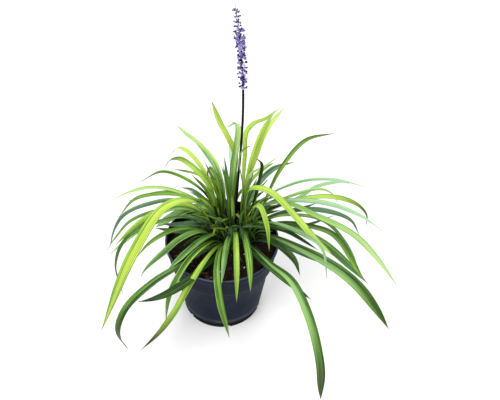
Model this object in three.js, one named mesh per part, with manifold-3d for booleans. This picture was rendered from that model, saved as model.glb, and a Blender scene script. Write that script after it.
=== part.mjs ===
// Potted liriope: a clump of arching, grass-like leaves and one flower spike in a
// plastic nursery pot filled with bark compost. Units are millimetres, +Z is up, and
// the origin is the middle of the pot's underside.
import * as THREE from 'three';
import { mergeVertices } from 'three/addons/utils/BufferGeometryUtils.js';
import Module from 'manifold-3d';

const wasm = await Module();
wasm.setup();

// ---------------------------------------------------------------- driving sizes
const POT_HEIGHT = 139;
const RIM_RADIUS = 85;         // outside of the lip
const LIP_HEIGHT = 5;          // rolled lip round the top edge
const LIP_PROUD = 1.4;         // the lip stands out this far from the band
const BAND_HEIGHT = 39;        // upper band, from the top edge down to the step
const BAND_FOOT_RADIUS = 79;   // outside of the band where it ends
const SHOULDER_RADIUS = 74.5;  // outside of the body just under the step
const BODY_FOOT_RADIUS = 62.3; // outside of the body above the foot ring
const FOOT_RADIUS = 61.5;      // outside of the foot ring on the ground
const FOOT_HEIGHT = 9;
const WALL = 1.8;
const FLOOR = 2.6;
const WELL_RISE = 4;           // the inside corner slopes up to the wall this high
const NOTCH_COUNT = 6;         // drain notches through the foot corner
const NOTCH_WIDTH = 7;
const NOTCH_HEIGHT = 4.2;
const NOTCH_DEPTH = 9;
const NOTCH_TURN = 42;         // azimuth of the first notch, degrees
const POT_SIDES = 32;
const EDGE = 1;                // small chamfers of the moulding
const LIP_SHELF = 1.4;         // the inside of the lip is stepped down this much

const GAP = 0.3;               // clearance between separate pieces
const SOIL_TOP = 124;          // mean height of the compost surface
const SOIL_RELIEF = 2.2;       // how far the surface rises and falls
const CHIP_COUNT = 14;         // bark chips and perlite grains standing out of the surface
const CHIP_SIZE = [3, 7];
const CHIP_SINK = 0.4;         // a chip's middle stands this far above the surface
const CLEAR_OF_CROWN = 44;     // chips lie at least this far from the middle of the clump
const COMPOST_RINGS = [0.25, 0.55, 0.8, 1];  // shares of the surface's radius

const CROWN = new THREE.Vector2(17, 24);  // middle of the clump, off the pot's middle
const SHEATH_RADIUS = 5.2;     // overlapping leaf bases of one shoot
const SHEATH_DEPTH = 18;
const SHEATH_RISE = 15;
const SHEATH_SIDES = 6;
const SHEATH_SPREAD = 2.4;     // leaf bases fan out this far either side inside the sheath

const BLADE_THICKNESS = 0.8;
const BLADE_STEP = 85;         // length of one facet along a straight leaf
const BLADE_BEND = 30;         // a bend of so many degrees takes one facet more
const FULL_SHARE = 0.66;       // of its length, before a leaf starts to taper
const TIP_WIDTH = 0.12;
const BASE_WIDTH = 0.5;        // a leaf's width where it leaves the sheath, as a share
const FOLD_ANGLE = 17;         // each half of a leaf is raised this far from flat, degrees
const LIGHT_TURN = 32;         // leaves at the sides turn their faces this far to the front

const STEM_FOOT = new THREE.Vector2(18, 30);
const STEM_RADIUS = 1.5;
const STEM_TOP = 253;          // above the compost, where the florets start
const SPIKE_TOP = 373;         // above the compost
const STEM_SIDES = 8;
const STEM_STEPS = 12;
const SPIKE_STEPS = 8;
const LEAN_RIGHT = 10.5;       // the stem's bow to +X on its way up
const LEAN_BACK = 4.5;         // the top's lean the other way

// Green and purple finishes of the pieces.
const COLOURS = {
  pot: 0x2b3140,
  compost: 0x3d2a20,
  stem: 0x231a2b,
  spike: 0x6f58b4,
  leaves: [0x5d9a2c, 0x4b8a33, 0x6fae30, 0x3f7d3a, 0x86bd3c, 0x55933a],
};

// Shoots round the crown: where each stands, and its leaves.
// A leaf is [azimuth, width, path, full]. It leaves the sheath and passes the path's points,
// each [reach from the middle of the clump, height above the compost], in the upright plane
// at its azimuth. A third number turns a point out of that plane by so many degrees. Full is
// the share of its length that keeps the full width, where that isn't the usual one.
const SHOOTS = {
  back_right: { azimuth: 58, distance: 22, leaves: [
    [60, 7, [[23, 93], [25, 140], [27, 177], [45, 181], [80, 169], [126, 163]]],
    [69, 8, [[32, 44], [48, 71], [76, 90], [103, 110], [135, 116], [202, 107]], 0.75],
    [71, 6, [[30, 45], [49, 71], [67, 96], [95, 114], [126, 121], [173, 112]], 0.7],
    [56, 4.5, [[24, 60], [37, 94], [74, 85], [122, 79]]],
    [62, 6, [[32, 55], [47, 72], [78, 69], [128, 53]]],
    [43, 9, [[30, 55], [52, 81], [76, 90], [120, 80]]],
    [20, 5.5, [[30, 60], [38, 108], [40, 125], [38, 134], [31, 141]], 0.92],
  ] },
  right: { azimuth: 10, distance: 25, leaves: [
    [349, 7, [[40, 66], [74, 87], [130, 96], [180, 84], [217, 61]]],
    [1, 7.5, [[50, 53], [111, 81], [150, 82], [180, 69], [197, 48], [200, 25]]],
    [6, 5, [[44, 53], [74, 72], [121, 88], [140, 81], [154, 60]]],
    [14, 5, [[45, 66], [95, 91], [150, 87], [206, 62]]],
    [18, 6, [[50, 32], [105, 54], [126, 68], [150, 71], [175, 67], [192, 52]]],
    [29, 7, [[50, 46], [74, 102], [112, 143], [165, 140]]],
    [12, 6, [[60, 30], [104, 40], [128, 47]]],
  ] },
  low_right: { azimuth: 339, distance: 18, leaves: [
    [328, 10, [[24, 104], [42, 117], [62, 118], [84, 107], [109, 89], [136, 70], [166, 55]], 0.8],
    [338, 8.5, [[49, 83], [82, 98], [123, 92], [178, 79], [216, 50], [256, 4]], 0.7],
    [344, 8, [[55, 56], [118, 90], [168, 87], [186, 61]]],
    [338, 5, [[67, 66], [120, 87], [145, 82], [173, 55], [187, 33], [195, 16]], 0.8],
    [331, 8, [[68, 60], [125, 84], [152, 87], [167, 79], [187, 56], [206, 31], [215, 22]], 0.8],
    [332, 11, [[45, 42], [93, 62], [123, 62], [151, 56], [187, 36], [218, 16]], 0.75],
    [341, 6, [[45, 30], [80, 38], [132, 18]]],
    [357, 5, [[55, 20], [100, 27], [147, 55]]],
  ] },
  front_right: { azimuth: 316, distance: 31, leaves: [
    [328, 15, [[52, 29], [120, 39], [179, 33], [212, 18], [242, -8], [266, -35]], 0.75],
    [332, 9, [[50, 20, -9], [95, 29, -4], [152, 19]]],
    [315, 11, [[50, 37], [97, 49], [114, 47], [126, 41], [136, 22]]],
    [314, 5, [[60, 70], [130, 105], [168, 106], [184, 60]]],
  ] },
  front_centre: { azimuth: 296, distance: 19, leaves: [
    [301, 12, [[50, 22], [105, 38], [161, 56], [203, 33], [240, -26], [255, -97]], 0.86],
    [313, 10, [[50, 16, -16], [106, 21, -9], [166, 0]]],
    [305, 8, [[45, 92], [64, 110], [82, 88], [91, 44]]],
  ] },
  front: { azimuth: 268, distance: 29, leaves: [
    [270, 10, [[60, 34, -15], [104, 36, -11], [130, 6, -6.5], [140, -72]]],
    [285, 10, [[36, 48], [70, 61], [104, 46, -1], [121, 6, -1.5]]],
    [264, 9, [[48, 44], [88, 50], [121, 23]]],
    [274, 8, [[42, 48], [78, 62], [115, 48], [134, 2]]],
  ] },
  front_left: { azimuth: 239, distance: 22, leaves: [
    [229, 9, [[41, 31], [72, 39], [126, 31], [133, 28]], 0.75],
    [227, 6, [[52, 9], [68, 9], [92, 17]]],
    [231, 10, [[76, 16], [119, 26], [163, 34], [207, 30], [222, 20], [232, 3], [234, -17],
               [224, -59]], 0.72],
    [236, 9, [[59, 32], [107, 37], [144, 13], [154, -3], [163, -42]]],
    [238, 12, [[68, 4, 5], [95, 15, 5], [121, 20, 5], [142, 22, 3], [166, 23],
               [183, 20, -4], [197, 24, -6]]],
    [240, 9, [[62, 27, 6], [95, 28, 5], [120, 19, 4], [139, 0, 2], [154, -22],
              [178, -48, -3], [194, -55, -4], [215, -60, -5]], 0.7],
  ] },
  left: { azimuth: 211, distance: 28, leaves: [
    [220, 15, [[72, 110], [118, 124], [172, 68], [236, -50]]],
    [196, 9.5, [[55, 60], [98, 74], [141, 44], [189, 0]]],
    [205, 6, [[80, 66], [154, 61], [173, 43], [185, 7], [185, -22], [182, -58]], 0.7],
    [195, 7.5, [[57, 66], [87, 80], [129, 62], [155, 40], [171, 23], [179, 14]], 0.75],
    [208, 7, [[56, 35], [91, 50], [116, 48], [138, 37], [154, 20]]],
    [221, 9, [[63, 47], [100, 53], [125, 44], [149, 35], [160, 28], [166, 20]]],
    [198, 8, [[54, 18], [90, 30], [119, 44]]],
    [204, 10, [[51, 40], [82, 49], [109, 60]]],
    [218, 7, [[48, 20], [66, 31], [92, 30]]],
    [201, 6, [[40, 12], [52, 13], [66, 27]]],
  ] },
  far_left: { azimuth: 177, distance: 21, leaves: [
    [167, 6, [[55, 53], [97, 67], [132, 63], [168, 44], [199, 19]]],
    [166, 7, [[55, 46], [78, 58], [103, 58], [135, 45], [173, 21]]],
    [172, 6, [[50, 58], [95, 66], [150, 48], [185, 0]]],
    [185, 7, [[45, 50], [88, 74], [129, 66], [152, 55], [168, 40], [182, 12], [191, -20]], 0.8],
    [187, 5, [[60, 50], [102, 59], [152, 40], [180, 4], [196, -22]]],
    [185, 12, [[40, 55], [66, 56], [91, 42], [118, 19]], 0.85],
    [180, 6, [[40, 50], [73, 55], [99, 50]]],
    [185, 5, [[47, 30], [74, 42], [90, 46]]],
    [190, 5, [[34, 25], [47, 32], [67, 46]]],
  ] },
  back_left: { azimuth: 142, distance: 26, leaves: [
    [119, 8, [[36, 57], [61, 91], [115, 89], [180, 70], [224, 58]], 0.75],
    [119, 8, [[41, 51], [60, 80], [111, 86], [155, 76]]],
    [133, 7, [[42, 55], [68, 77], [90, 89], [115, 93], [140, 83], [155, 62]], 0.7],
    [137, 4.5, [[36, 60], [69, 72], [143, 44]]],
    [143, 9, [[46, 64], [66, 84], [102, 93], [118, 87], [132, 75], [142, 58]]],
    [150, 6, [[42, 50], [80, 69], [130, 65], [181, 19]]],
    [155, 6, [[42, 42], [71, 60], [94, 56]]],
    [132, 5, [[33, 65], [51, 93], [61, 94], [65, 72]], 0.85],
    [138, 4, [[30, 62], [40, 81], [56, 82]]],
    [151, 5, [[36, 60], [50, 70], [64, 80]]],
  ] },
  back: { azimuth: 102, distance: 22, leaves: [
    [115, 8, [[26, 90, -20], [27, 136, -22], [35, 162, -4], [57, 174, 1], [90, 187]], 0.85],
    [84, 9, [[24, 60, 23], [23, 119, 15], [22, 150, 6], [22, 186], [24, 193, 7],
             [28, 184, 30]], 0.85],
    [92, 6, [[28, 60], [34, 92], [48, 130]]],
    [96, 7, [[38, 50], [80, 76], [150, 60]]],
  ] },
  heart: { azimuth: 235, distance: 5, leaves: [
    [200, 6, [[12, 60], [20, 118]]],
    [262, 6, [[12, 55], [24, 105]]],
    [150, 6, [[10, 62], [20, 128]]],
    [330, 7, [[12, 60], [13, 98], [10, 119], [6, 141], [8, 162], [15, 174], [26, 184]]],
  ] },
};

// Younger leaves of each shoot, drawn by rule: short, upright and narrow.
const YOUNG_PER_SHOOT = 2;
const YOUNG_REACH = [44, 78];
const YOUNG_TIP = [62, 112];
const YOUNG_WIDTH = [4.5, 7];
const YOUNG_SPREAD = 8;        // degrees either side of the shoot

// Florets: whorls up the spike, smaller at its foot, full in the middle, buds at the top.
const WHORL_PITCH = 6.9;
const FLORET_REACH = 7;        // from the axis to a floret's tip, in the full part
const FLORET_RADIUS = 2.4;
const BUD_REACH = 3.6;
const BUD_RADIUS = 1.2;
const FLORET_TILT = 0.3;       // florets look a little upwards, radians
const SPIKE_RADIUS = 1.05;     // the stem between the florets

// ---------------------------------------------------------------- small tools
const radians = THREE.MathUtils.degToRad;
const mix = THREE.MathUtils.lerp;
const smooth = THREE.MathUtils.smoothstep;

// Repeatable random numbers from 0 to 1.
function randomFrom(seed) {
  let state = seed;
  return () => {
    state = (state * 1664525 + 1013904223) % 4294967296;
    return state / 4294967296;
  };
}

function solidFrom(geometry) {
  const bare = geometry.clone();
  bare.deleteAttribute('normal');
  bare.deleteAttribute('uv');
  const merged = mergeVertices(bare, 1e-4);
  return new wasm.Manifold(new wasm.Mesh({
    numProp: 3,
    vertProperties: new Float32Array(merged.attributes.position.array),
    triVerts: new Uint32Array(merged.index.array),
  }));
}

function geometryFrom(solid) {
  const mesh = solid.getMesh();
  const geometry = new THREE.BufferGeometry();
  geometry.setAttribute('position', new THREE.Float32BufferAttribute(mesh.vertProperties, 3));
  geometry.setIndex(new THREE.Uint32BufferAttribute(mesh.triVerts, 1));
  geometry.computeVertexNormals();
  return geometry;
}

// Lathe whose axis is Z: the profile is a list of [radius, height].
function turned(profile, sides) {
  const points = profile.map(([radius, height]) => new THREE.Vector2(radius, height));
  return new THREE.LatheGeometry(points, sides).rotateX(Math.PI / 2);
}

function upright(radius, bottom, top, sides) {
  return new THREE.CylinderGeometry(radius, radius, top - bottom, sides)
    .rotateX(Math.PI / 2).translate(0, 0, (bottom + top) / 2);
}

function around(azimuth, distance, height) {
  const angle = radians(azimuth);
  return new THREE.Vector3(
    CROWN.x + distance * Math.cos(angle),
    CROWN.y + distance * Math.sin(angle),
    SOIL_TOP + height,
  );
}

function addPiece(group, name, geometry, colour, roughness) {
  const material = new THREE.MeshStandardMaterial({ color: colour, roughness, metalness: 0 });
  const mesh = new THREE.Mesh(geometry, material);
  mesh.name = name;
  group.add(mesh);
}

// ---------------------------------------------------------------- pot
const STEP_HEIGHT = POT_HEIGHT - BAND_HEIGHT;
const BAND_TOP_RADIUS = RIM_RADIUS - LIP_PROUD;

function potGeometry() {
  const lipFoot = POT_HEIGHT - LIP_HEIGHT;
  const profile = [
    [0, 0],
    [FOOT_RADIUS - EDGE, 0],
    [FOOT_RADIUS, EDGE],
    [BODY_FOOT_RADIUS - EDGE, FOOT_HEIGHT - EDGE],
    [BODY_FOOT_RADIUS, FOOT_HEIGHT],
    [SHOULDER_RADIUS, STEP_HEIGHT - EDGE],
    [BAND_FOOT_RADIUS - EDGE, STEP_HEIGHT],
    [BAND_FOOT_RADIUS, STEP_HEIGHT + EDGE],
    [BAND_TOP_RADIUS, lipFoot - EDGE],
    [RIM_RADIUS, lipFoot],
    [RIM_RADIUS, POT_HEIGHT - EDGE],
    [RIM_RADIUS - EDGE, POT_HEIGHT],
    [BAND_TOP_RADIUS - EDGE, POT_HEIGHT],
    [BAND_TOP_RADIUS - WALL, POT_HEIGHT - LIP_SHELF],
    [BAND_FOOT_RADIUS - WALL, STEP_HEIGHT + WALL],
    [SHOULDER_RADIUS - WALL, STEP_HEIGHT],
    [BODY_FOOT_RADIUS - WALL - EDGE, FLOOR + WELL_RISE],
    [FOOT_RADIUS - 2 * WALL, FLOOR],
    [0, FLOOR],
  ];
  let pot = solidFrom(turned(profile, POT_SIDES));
  for (let i = 0; i < NOTCH_COUNT; i += 1) {
    const notch = new THREE.BoxGeometry(NOTCH_DEPTH, NOTCH_WIDTH, 2 * NOTCH_HEIGHT)
      .translate(FOOT_RADIUS, 0, 0)
      .rotateZ(radians(NOTCH_TURN + (360 / NOTCH_COUNT) * i));
    pot = pot.subtract(solidFrom(notch));
  }
  return geometryFrom(pot);
}

// ---------------------------------------------------------------- compost
function surfaceHeight(x, y) {
  const swell = Math.sin(x * 0.11 + 1.3) * Math.cos(y * 0.09 - 0.4);
  const crumbs = Math.sin(x * 0.31 + y * 0.17) * Math.sin(y * 0.37 - x * 0.12 + 2);
  return SOIL_TOP + SOIL_RELIEF * (0.55 * swell + 0.45 * crumbs);
}

function compostGeometry(shoots) {
  const rise = (SOIL_TOP - STEP_HEIGHT) / (POT_HEIGHT - LIP_SHELF - STEP_HEIGHT);
  const outer = mix(BAND_FOOT_RADIUS, BAND_TOP_RADIUS, rise) - WALL - 2 * GAP;
  const rings = COMPOST_RINGS.map((share) => [share * outer, SOIL_TOP]);
  const profile = [
    [0, FLOOR + GAP],
    [FOOT_RADIUS - 2 * WALL - GAP, FLOOR + GAP],
    [BODY_FOOT_RADIUS - WALL - EDGE - 2 * GAP, FLOOR + WELL_RISE + GAP],
    [SHOULDER_RADIUS - WALL - 2 * GAP, STEP_HEIGHT],
    [BAND_FOOT_RADIUS - WALL - 2 * GAP, STEP_HEIGHT + WALL + 2 * GAP],
    ...rings.reverse(),
    [0, SOIL_TOP],
  ];
  const body = turned(profile, POT_SIDES);
  const place = body.attributes.position;
  for (let i = 0; i < place.count; i += 1) {
    if (Math.abs(place.getZ(i) - SOIL_TOP) < 1e-3) {
      place.setZ(i, surfaceHeight(place.getX(i), place.getY(i)));
    }
  }
  let compost = solidFrom(body);
  const random = randomFrom(71);
  for (let i = 0; i < CHIP_COUNT; i += 1) {
    const angle = 2 * Math.PI * random();
    const distance = mix(0.45, 0.86, Math.sqrt(random())) * outer;
    const size = mix(...CHIP_SIZE, random());
    const x = distance * Math.cos(angle);
    const y = distance * Math.sin(angle);
    const chip = new THREE.BoxGeometry(size * 1.6, size, size * 0.7)
      .rotateX(mix(-0.4, 0.4, random()))
      .rotateZ(Math.PI * random())
      .translate(x, y, surfaceHeight(x, y) + CHIP_SINK);
    const apart = Math.hypot(x - CROWN.x, y - CROWN.y);
    if (apart > CLEAR_OF_CROWN) compost = compost.add(solidFrom(chip));
  }
  const bottom = SOIL_TOP - SHEATH_DEPTH - GAP;
  const top = SOIL_TOP + 2 * SOIL_RELIEF;
  for (const shoot of shoots) {
    const hole = upright(SHEATH_RADIUS + GAP, bottom, top, SHEATH_SIDES);
    compost = compost.subtract(solidFrom(hole.translate(shoot.x, shoot.y, 0)));
  }
  const stem = stemPoint(0);
  const stemHole = upright(STEM_RADIUS + GAP, bottom, top, STEM_SIDES);
  return geometryFrom(compost.subtract(solidFrom(stemHole.translate(stem.x, stem.y, 0))));
}

// ---------------------------------------------------------------- leaves
function bladeWidth(share, full) {
  const swelling = mix(BASE_WIDTH, 1, smooth(share, 0, 0.45));
  const taper = 1 - Math.max(0, (share - full) / (1 - full)) ** 1.8;
  return Math.max(TIP_WIDTH, swelling * taper);
}

// Where a leaf has its stations, as shares of its length: closer together where it bends.
function stationShares(arch) {
  const samples = 60;
  const effort = [0];
  for (let i = 1; i <= samples; i += 1) {
    const bend = arch.getTangentAt((i - 1) / samples).angleTo(arch.getTangentAt(i / samples));
    const run = arch.getLength() / samples;
    effort.push(effort[i - 1] + run / BLADE_STEP + bend / radians(BLADE_BEND));
  }
  const total = effort[samples];
  const steps = Math.max(4, Math.round(total));
  const shares = [];
  let k = 0;
  for (let i = 0; i <= steps; i += 1) {
    const target = (total * i) / steps;
    while (k < samples - 1 && effort[k + 1] < target) k += 1;
    const between = (target - effort[k]) / (effort[k + 1] - effort[k]);
    shares.push(Math.min(1, (k + between) / samples));
  }
  return shares;
}

// One leaf: a shallow V in section, six corners at each station, its edges level with its
// arch. Each quad of the upper face and the one under it are split along the same diagonal.
function bladeGeometry(arch, azimuth, width, full) {
  const shares = stationShares(arch);
  const steps = shares.length - 1;
  const across = new THREE.Vector3(-Math.sin(radians(azimuth)), Math.cos(radians(azimuth)), 0);
  const lightTurn = radians(LIGHT_TURN) * Math.cos(radians(azimuth));
  const corners = [];
  const faces = [];
  for (const share of shares) {
    const centre = arch.getPointAt(share);
    const along = arch.getTangentAt(share);
    const side = across.clone().addScaledVector(along, -across.dot(along)).normalize();
    side.applyAxisAngle(along, lightTurn * smooth(share, 0.1, 0.5));
    const face = along.clone().cross(side).normalize();
    const fold = radians(mix(FOLD_ANGLE, FOLD_ANGLE * 0.4, share));
    const half = (width / 2) * bladeWidth(share, full);
    const left = centre.clone().addScaledVector(side, half * Math.cos(fold));
    const right = centre.clone().addScaledVector(side, -half * Math.cos(fold));
    const keel = centre.clone().addScaledVector(face, -half * Math.sin(fold));
    const upper = [left, keel, right];
    const lower = upper.map((point) => point.clone().addScaledVector(face, -BLADE_THICKNESS));
    corners.push(...upper, ...lower.reverse());
  }
  for (let i = 0; i < steps; i += 1) {
    for (let k = 0; k < 6; k += 1) {
      const next = (k + 1) % 6;
      const [a, b, c, d] = [6 * i + k, 6 * i + next, 6 * i + 6 + next, 6 * i + 6 + k];
      if (k < 3) faces.push(a, b, c, a, c, d);
      else faces.push(a, b, d, b, c, d);
    }
  }
  const end = 6 * steps;
  faces.push(0, 5, 1, 1, 5, 4, 1, 4, 2, 2, 4, 3);
  faces.push(end, end + 1, end + 5, end + 1, end + 4, end + 5);
  faces.push(end + 1, end + 2, end + 4, end + 2, end + 3, end + 4);
  const geometry = new THREE.BufferGeometry().setFromPoints(corners);
  geometry.setIndex(faces);
  return geometry;
}

function youngLeaves(shoot, random) {
  const leaves = [];
  for (let i = 0; i < YOUNG_PER_SHOOT; i += 1) {
    const turn = mix(-YOUNG_SPREAD, YOUNG_SPREAD, random());
    const reach = mix(...YOUNG_REACH, random());
    const tip = mix(...YOUNG_TIP, random());
    const width = mix(...YOUNG_WIDTH, random());
    const path = [[mix(shoot.distance, reach, 0.4), tip * 0.7], [reach, tip]];
    leaves.push([shoot.azimuth + turn, width, path]);
  }
  return leaves;
}

function shootGeometry(shoot) {
  const base = around(shoot.azimuth, shoot.distance, 0);
  const sheath = turned([
    [0, -SHEATH_DEPTH],
    [SHEATH_RADIUS * 0.8, -SHEATH_DEPTH],
    [SHEATH_RADIUS, -SHEATH_DEPTH * 0.5],
    [SHEATH_RADIUS, 2],
    [SHEATH_RADIUS * 0.55, SHEATH_RISE],
    [0, SHEATH_RISE],
  ], SHEATH_SIDES).translate(base.x, base.y, base.z);
  let solid = solidFrom(sheath);
  const tangent = new THREE.Vector3(
    -Math.sin(radians(shoot.azimuth)), Math.cos(radians(shoot.azimuth)), 0);
  const order = [...shoot.leaves].sort((a, b) => a[0] - b[0]);
  order.forEach(([azimuth, width, path, full = FULL_SHARE], i) => {
    const offset = mix(-SHEATH_SPREAD, SHEATH_SPREAD, i / (order.length - 1));
    const root = base.clone().addScaledVector(tangent, offset);
    root.z += 3;
    const stations = path.map(
      ([reach, height, turn = 0]) => around(azimuth + turn, reach, height));
    const arch = new THREE.CatmullRomCurve3([root, ...stations]);
    solid = solid.add(solidFrom(bladeGeometry(arch, azimuth, width, full)));
  });
  return geometryFrom(solid);
}

// ---------------------------------------------------------------- flower
// The stem stands in the crown, bows right as it rises and leans back left at the spike.
function stemPoint(height) {
  const share = Math.max(0, height / SPIKE_TOP);
  const sway = LEAN_RIGHT * Math.sin(Math.PI * share ** 1.55) - LEAN_BACK * share;
  return new THREE.Vector3(STEM_FOOT.x + sway, STEM_FOOT.y, SOIL_TOP + height);
}

function stemTube(bottom, top, radius, steps) {
  const points = [];
  for (let i = 0; i <= steps; i += 1) points.push(stemPoint(mix(bottom, top, i / steps)));
  const outline = new THREE.Shape();
  outline.absarc(0, 0, radius, 0, 2 * Math.PI, false);
  return new THREE.ExtrudeGeometry(outline, {
    steps,
    curveSegments: STEM_SIDES / 2,
    bevelEnabled: false,
    extrudePath: new THREE.CatmullRomCurve3(points),
  });
}

function stemGeometry() {
  return geometryFrom(solidFrom(stemTube(1 - SHEATH_DEPTH, STEM_TOP, STEM_RADIUS, STEM_STEPS)));
}

function spikeGeometry() {
  let spike = solidFrom(stemTube(STEM_TOP + GAP, SPIKE_TOP, SPIKE_RADIUS, SPIKE_STEPS));
  const random = randomFrom(29);
  const length = SPIKE_TOP - STEM_TOP;
  for (let rise = WHORL_PITCH; rise < length; rise += WHORL_PITCH) {
    const share = rise / length;
    const full = mix(0.6, 1, smooth(share, 0, 0.3)) * (1 - smooth(share, 0.6, 0.85));
    const count = full > 0.5 ? 4 : 3;
    const reach = mix(BUD_REACH, FLORET_REACH, full);
    const radius = mix(BUD_RADIUS, FLORET_RADIUS, full);
    const centre = stemPoint(STEM_TOP + rise);
    const start = random();
    for (let k = 0; k < count; k += 1) {
      const floret = new THREE.OctahedronGeometry(1, 0)
        .scale(reach / 2 + GAP, radius, radius)
        .rotateY(-FLORET_TILT)
        .translate(reach / 2, 0, mix(-1, 1, random()))
        .rotateZ(2 * Math.PI * (start + k / count))
        .translate(centre.x, centre.y, centre.z);
      spike = spike.add(solidFrom(floret));
    }
  }
  return geometryFrom(spike);
}

// ---------------------------------------------------------------- the plant
const group = new THREE.Group();
const random = randomFrom(5);
const names = Object.keys(SHOOTS);
for (const name of names) {
  const shoot = SHOOTS[name];
  if (name !== 'heart') shoot.leaves.push(...youngLeaves(shoot, random));
}
addPiece(group, 'pot', potGeometry(), COLOURS.pot, 0.6);
addPiece(group, 'compost', compostGeometry(
  names.map((name) => around(SHOOTS[name].azimuth, SHOOTS[name].distance, 0))), COLOURS.compost, 1);
names.forEach((name, i) => {
  const colour = COLOURS.leaves[i % COLOURS.leaves.length];
  addPiece(group, `leaves_${name}`, shootGeometry(SHOOTS[name]), colour, 0.45);
});
addPiece(group, 'flower_stem', stemGeometry(), COLOURS.stem, 0.5);
addPiece(group, 'flower_spike', spikeGeometry(), COLOURS.spike, 0.7);

export default group;
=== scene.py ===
import math
from bisect import bisect_right
from collections import namedtuple

import bmesh
import bpy
from bpy.props import FloatProperty, FloatVectorProperty, IntProperty, PointerProperty
from mathutils import Matrix, Vector, noise


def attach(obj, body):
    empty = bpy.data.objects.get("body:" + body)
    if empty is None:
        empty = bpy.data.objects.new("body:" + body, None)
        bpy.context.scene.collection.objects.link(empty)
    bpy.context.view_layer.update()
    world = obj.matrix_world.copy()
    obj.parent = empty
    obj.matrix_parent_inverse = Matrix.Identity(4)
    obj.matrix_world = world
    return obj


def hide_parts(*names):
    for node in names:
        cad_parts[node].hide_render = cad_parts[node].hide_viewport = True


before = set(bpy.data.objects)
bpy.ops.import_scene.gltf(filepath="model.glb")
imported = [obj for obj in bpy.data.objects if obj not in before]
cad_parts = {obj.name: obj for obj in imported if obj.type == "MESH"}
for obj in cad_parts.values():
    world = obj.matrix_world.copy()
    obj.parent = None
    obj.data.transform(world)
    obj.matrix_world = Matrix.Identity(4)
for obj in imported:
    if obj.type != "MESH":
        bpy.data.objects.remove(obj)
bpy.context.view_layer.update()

bl_info = {
    "name": "Potted liriope",
    "version": (1, 0, 0),
    "blender": (4, 5, 0),
    "location": "View3D > Sidebar > Liriope",
    "description": "Builds a liriope in its nursery pot: leaves, flower spike, compost and pot",
    "category": "Add Mesh",
}

MM = 0.001

# ---------------------------------------------------------------- sizes, in millimetres
POT_HEIGHT = 139
RIM_RADIUS = 85
LIP_HEIGHT = 5
LIP_PROUD = 1.4
BAND_HEIGHT = 39
BAND_FOOT_RADIUS = 79
SHOULDER_RADIUS = 74.5
BODY_FOOT_RADIUS = 62.3
FOOT_RADIUS = 61.5
FOOT_HEIGHT = 9
WALL = 1.8
FLOOR = 2.6
WELL_RISE = 4
EDGE = 1
SOFT_EDGE = 0.3
LIP_SHELF = 1.4
NOTCH_COUNT = 6
NOTCH_WIDTH = 7
NOTCH_HEIGHT = 4.2
NOTCH_DEPTH = 9
NOTCH_TURN = 42
SHARP_ANGLE = 50
STEP_HEIGHT = POT_HEIGHT - BAND_HEIGHT
BAND_TOP_RADIUS = RIM_RADIUS - LIP_PROUD

GAP = 0.3
SOIL_TOP = 124
SOIL_RELIEF = 2.2
CHIP_COUNT = 14
CHIP_SIZE = (3, 7)
CHIP_SINK = 0.4
CLEAR_OF_CROWN = 44
CRUMB_SIZE = (0.7, 2.1)
SMALL_CHIP_LENGTH = (3, 9)
FIBRE_LENGTH = (5, 16)
FIBRE_RADIUS = (0.18, 0.4)
FINE_PERLITE_SIZE = (0.4, 1.0)
LOOSE_REACH = 0.97
# The large perlite grains: place and size.
PERLITE = (
    (-56, -20, 1.6),
    (34, -18, 1.4),
    (35, -44, 1.5),
    (0, -54, 1.6),
    (-38, 44, 1.3),
    (62, 38, 1.5),
)

# What the compost's pieces are made of, from dark soil at 0 to white perlite at 1.
CRUMB_STUFF = (0.08, 0.42)
CHIP_STUFF = (0.3, 0.5)
SMALL_CHIP_STUFF = (0.22, 0.68)
FIBRE_STUFF = (0.35, 0.75)
FINE_PERLITE_STUFF = (0.75, 0.98)
PERLITE_STUFF = 0.95

CROWN = (17, 24)
SHEATH_RADIUS = 5.2
SHEATH_DEPTH = 18
SHEATH_RISE = 15
SHEATH_SPREAD = 2.4
SHEATH_SIDES = 18
ROOT_RISE = 3

# Leaf widths are shares of the full width. Angles are in degrees.
FULL_SHARE = 0.66
TIP_WIDTH = 0.12
BASE_WIDTH = 0.425
TAPER = 1.8
FOLD_ANGLE = 17
LIGHT_TURN = 32
ARCH_STEPS = 28
FEWEST_RINGS = 14

STEM_FOOT = (18, 30)
STEM_RADIUS = 1.5
STEM_TOP = 253
STEM_SIDES = 14
STEM_STEPS = 60
SPIKE_TOP = 373
SPIKE_SIDES = 8
SPIKE_STEPS = 30
LEAN_RIGHT = 10.5
LEAN_BACK = 4.5
WHORL_PITCH = 6.9
BARE_TIP = 4
FLORET_REACH = 7
BUD_REACH = 3.6
STALK_RADIUS = 0.3
PETALS = 6

SEEDS = {"chip_places": 71, "chip_shapes": 407, "crumbs": 1213, "young_leaves": 5,
         "sprouts": 311, "whorls": 29, "florets": 613}

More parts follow.
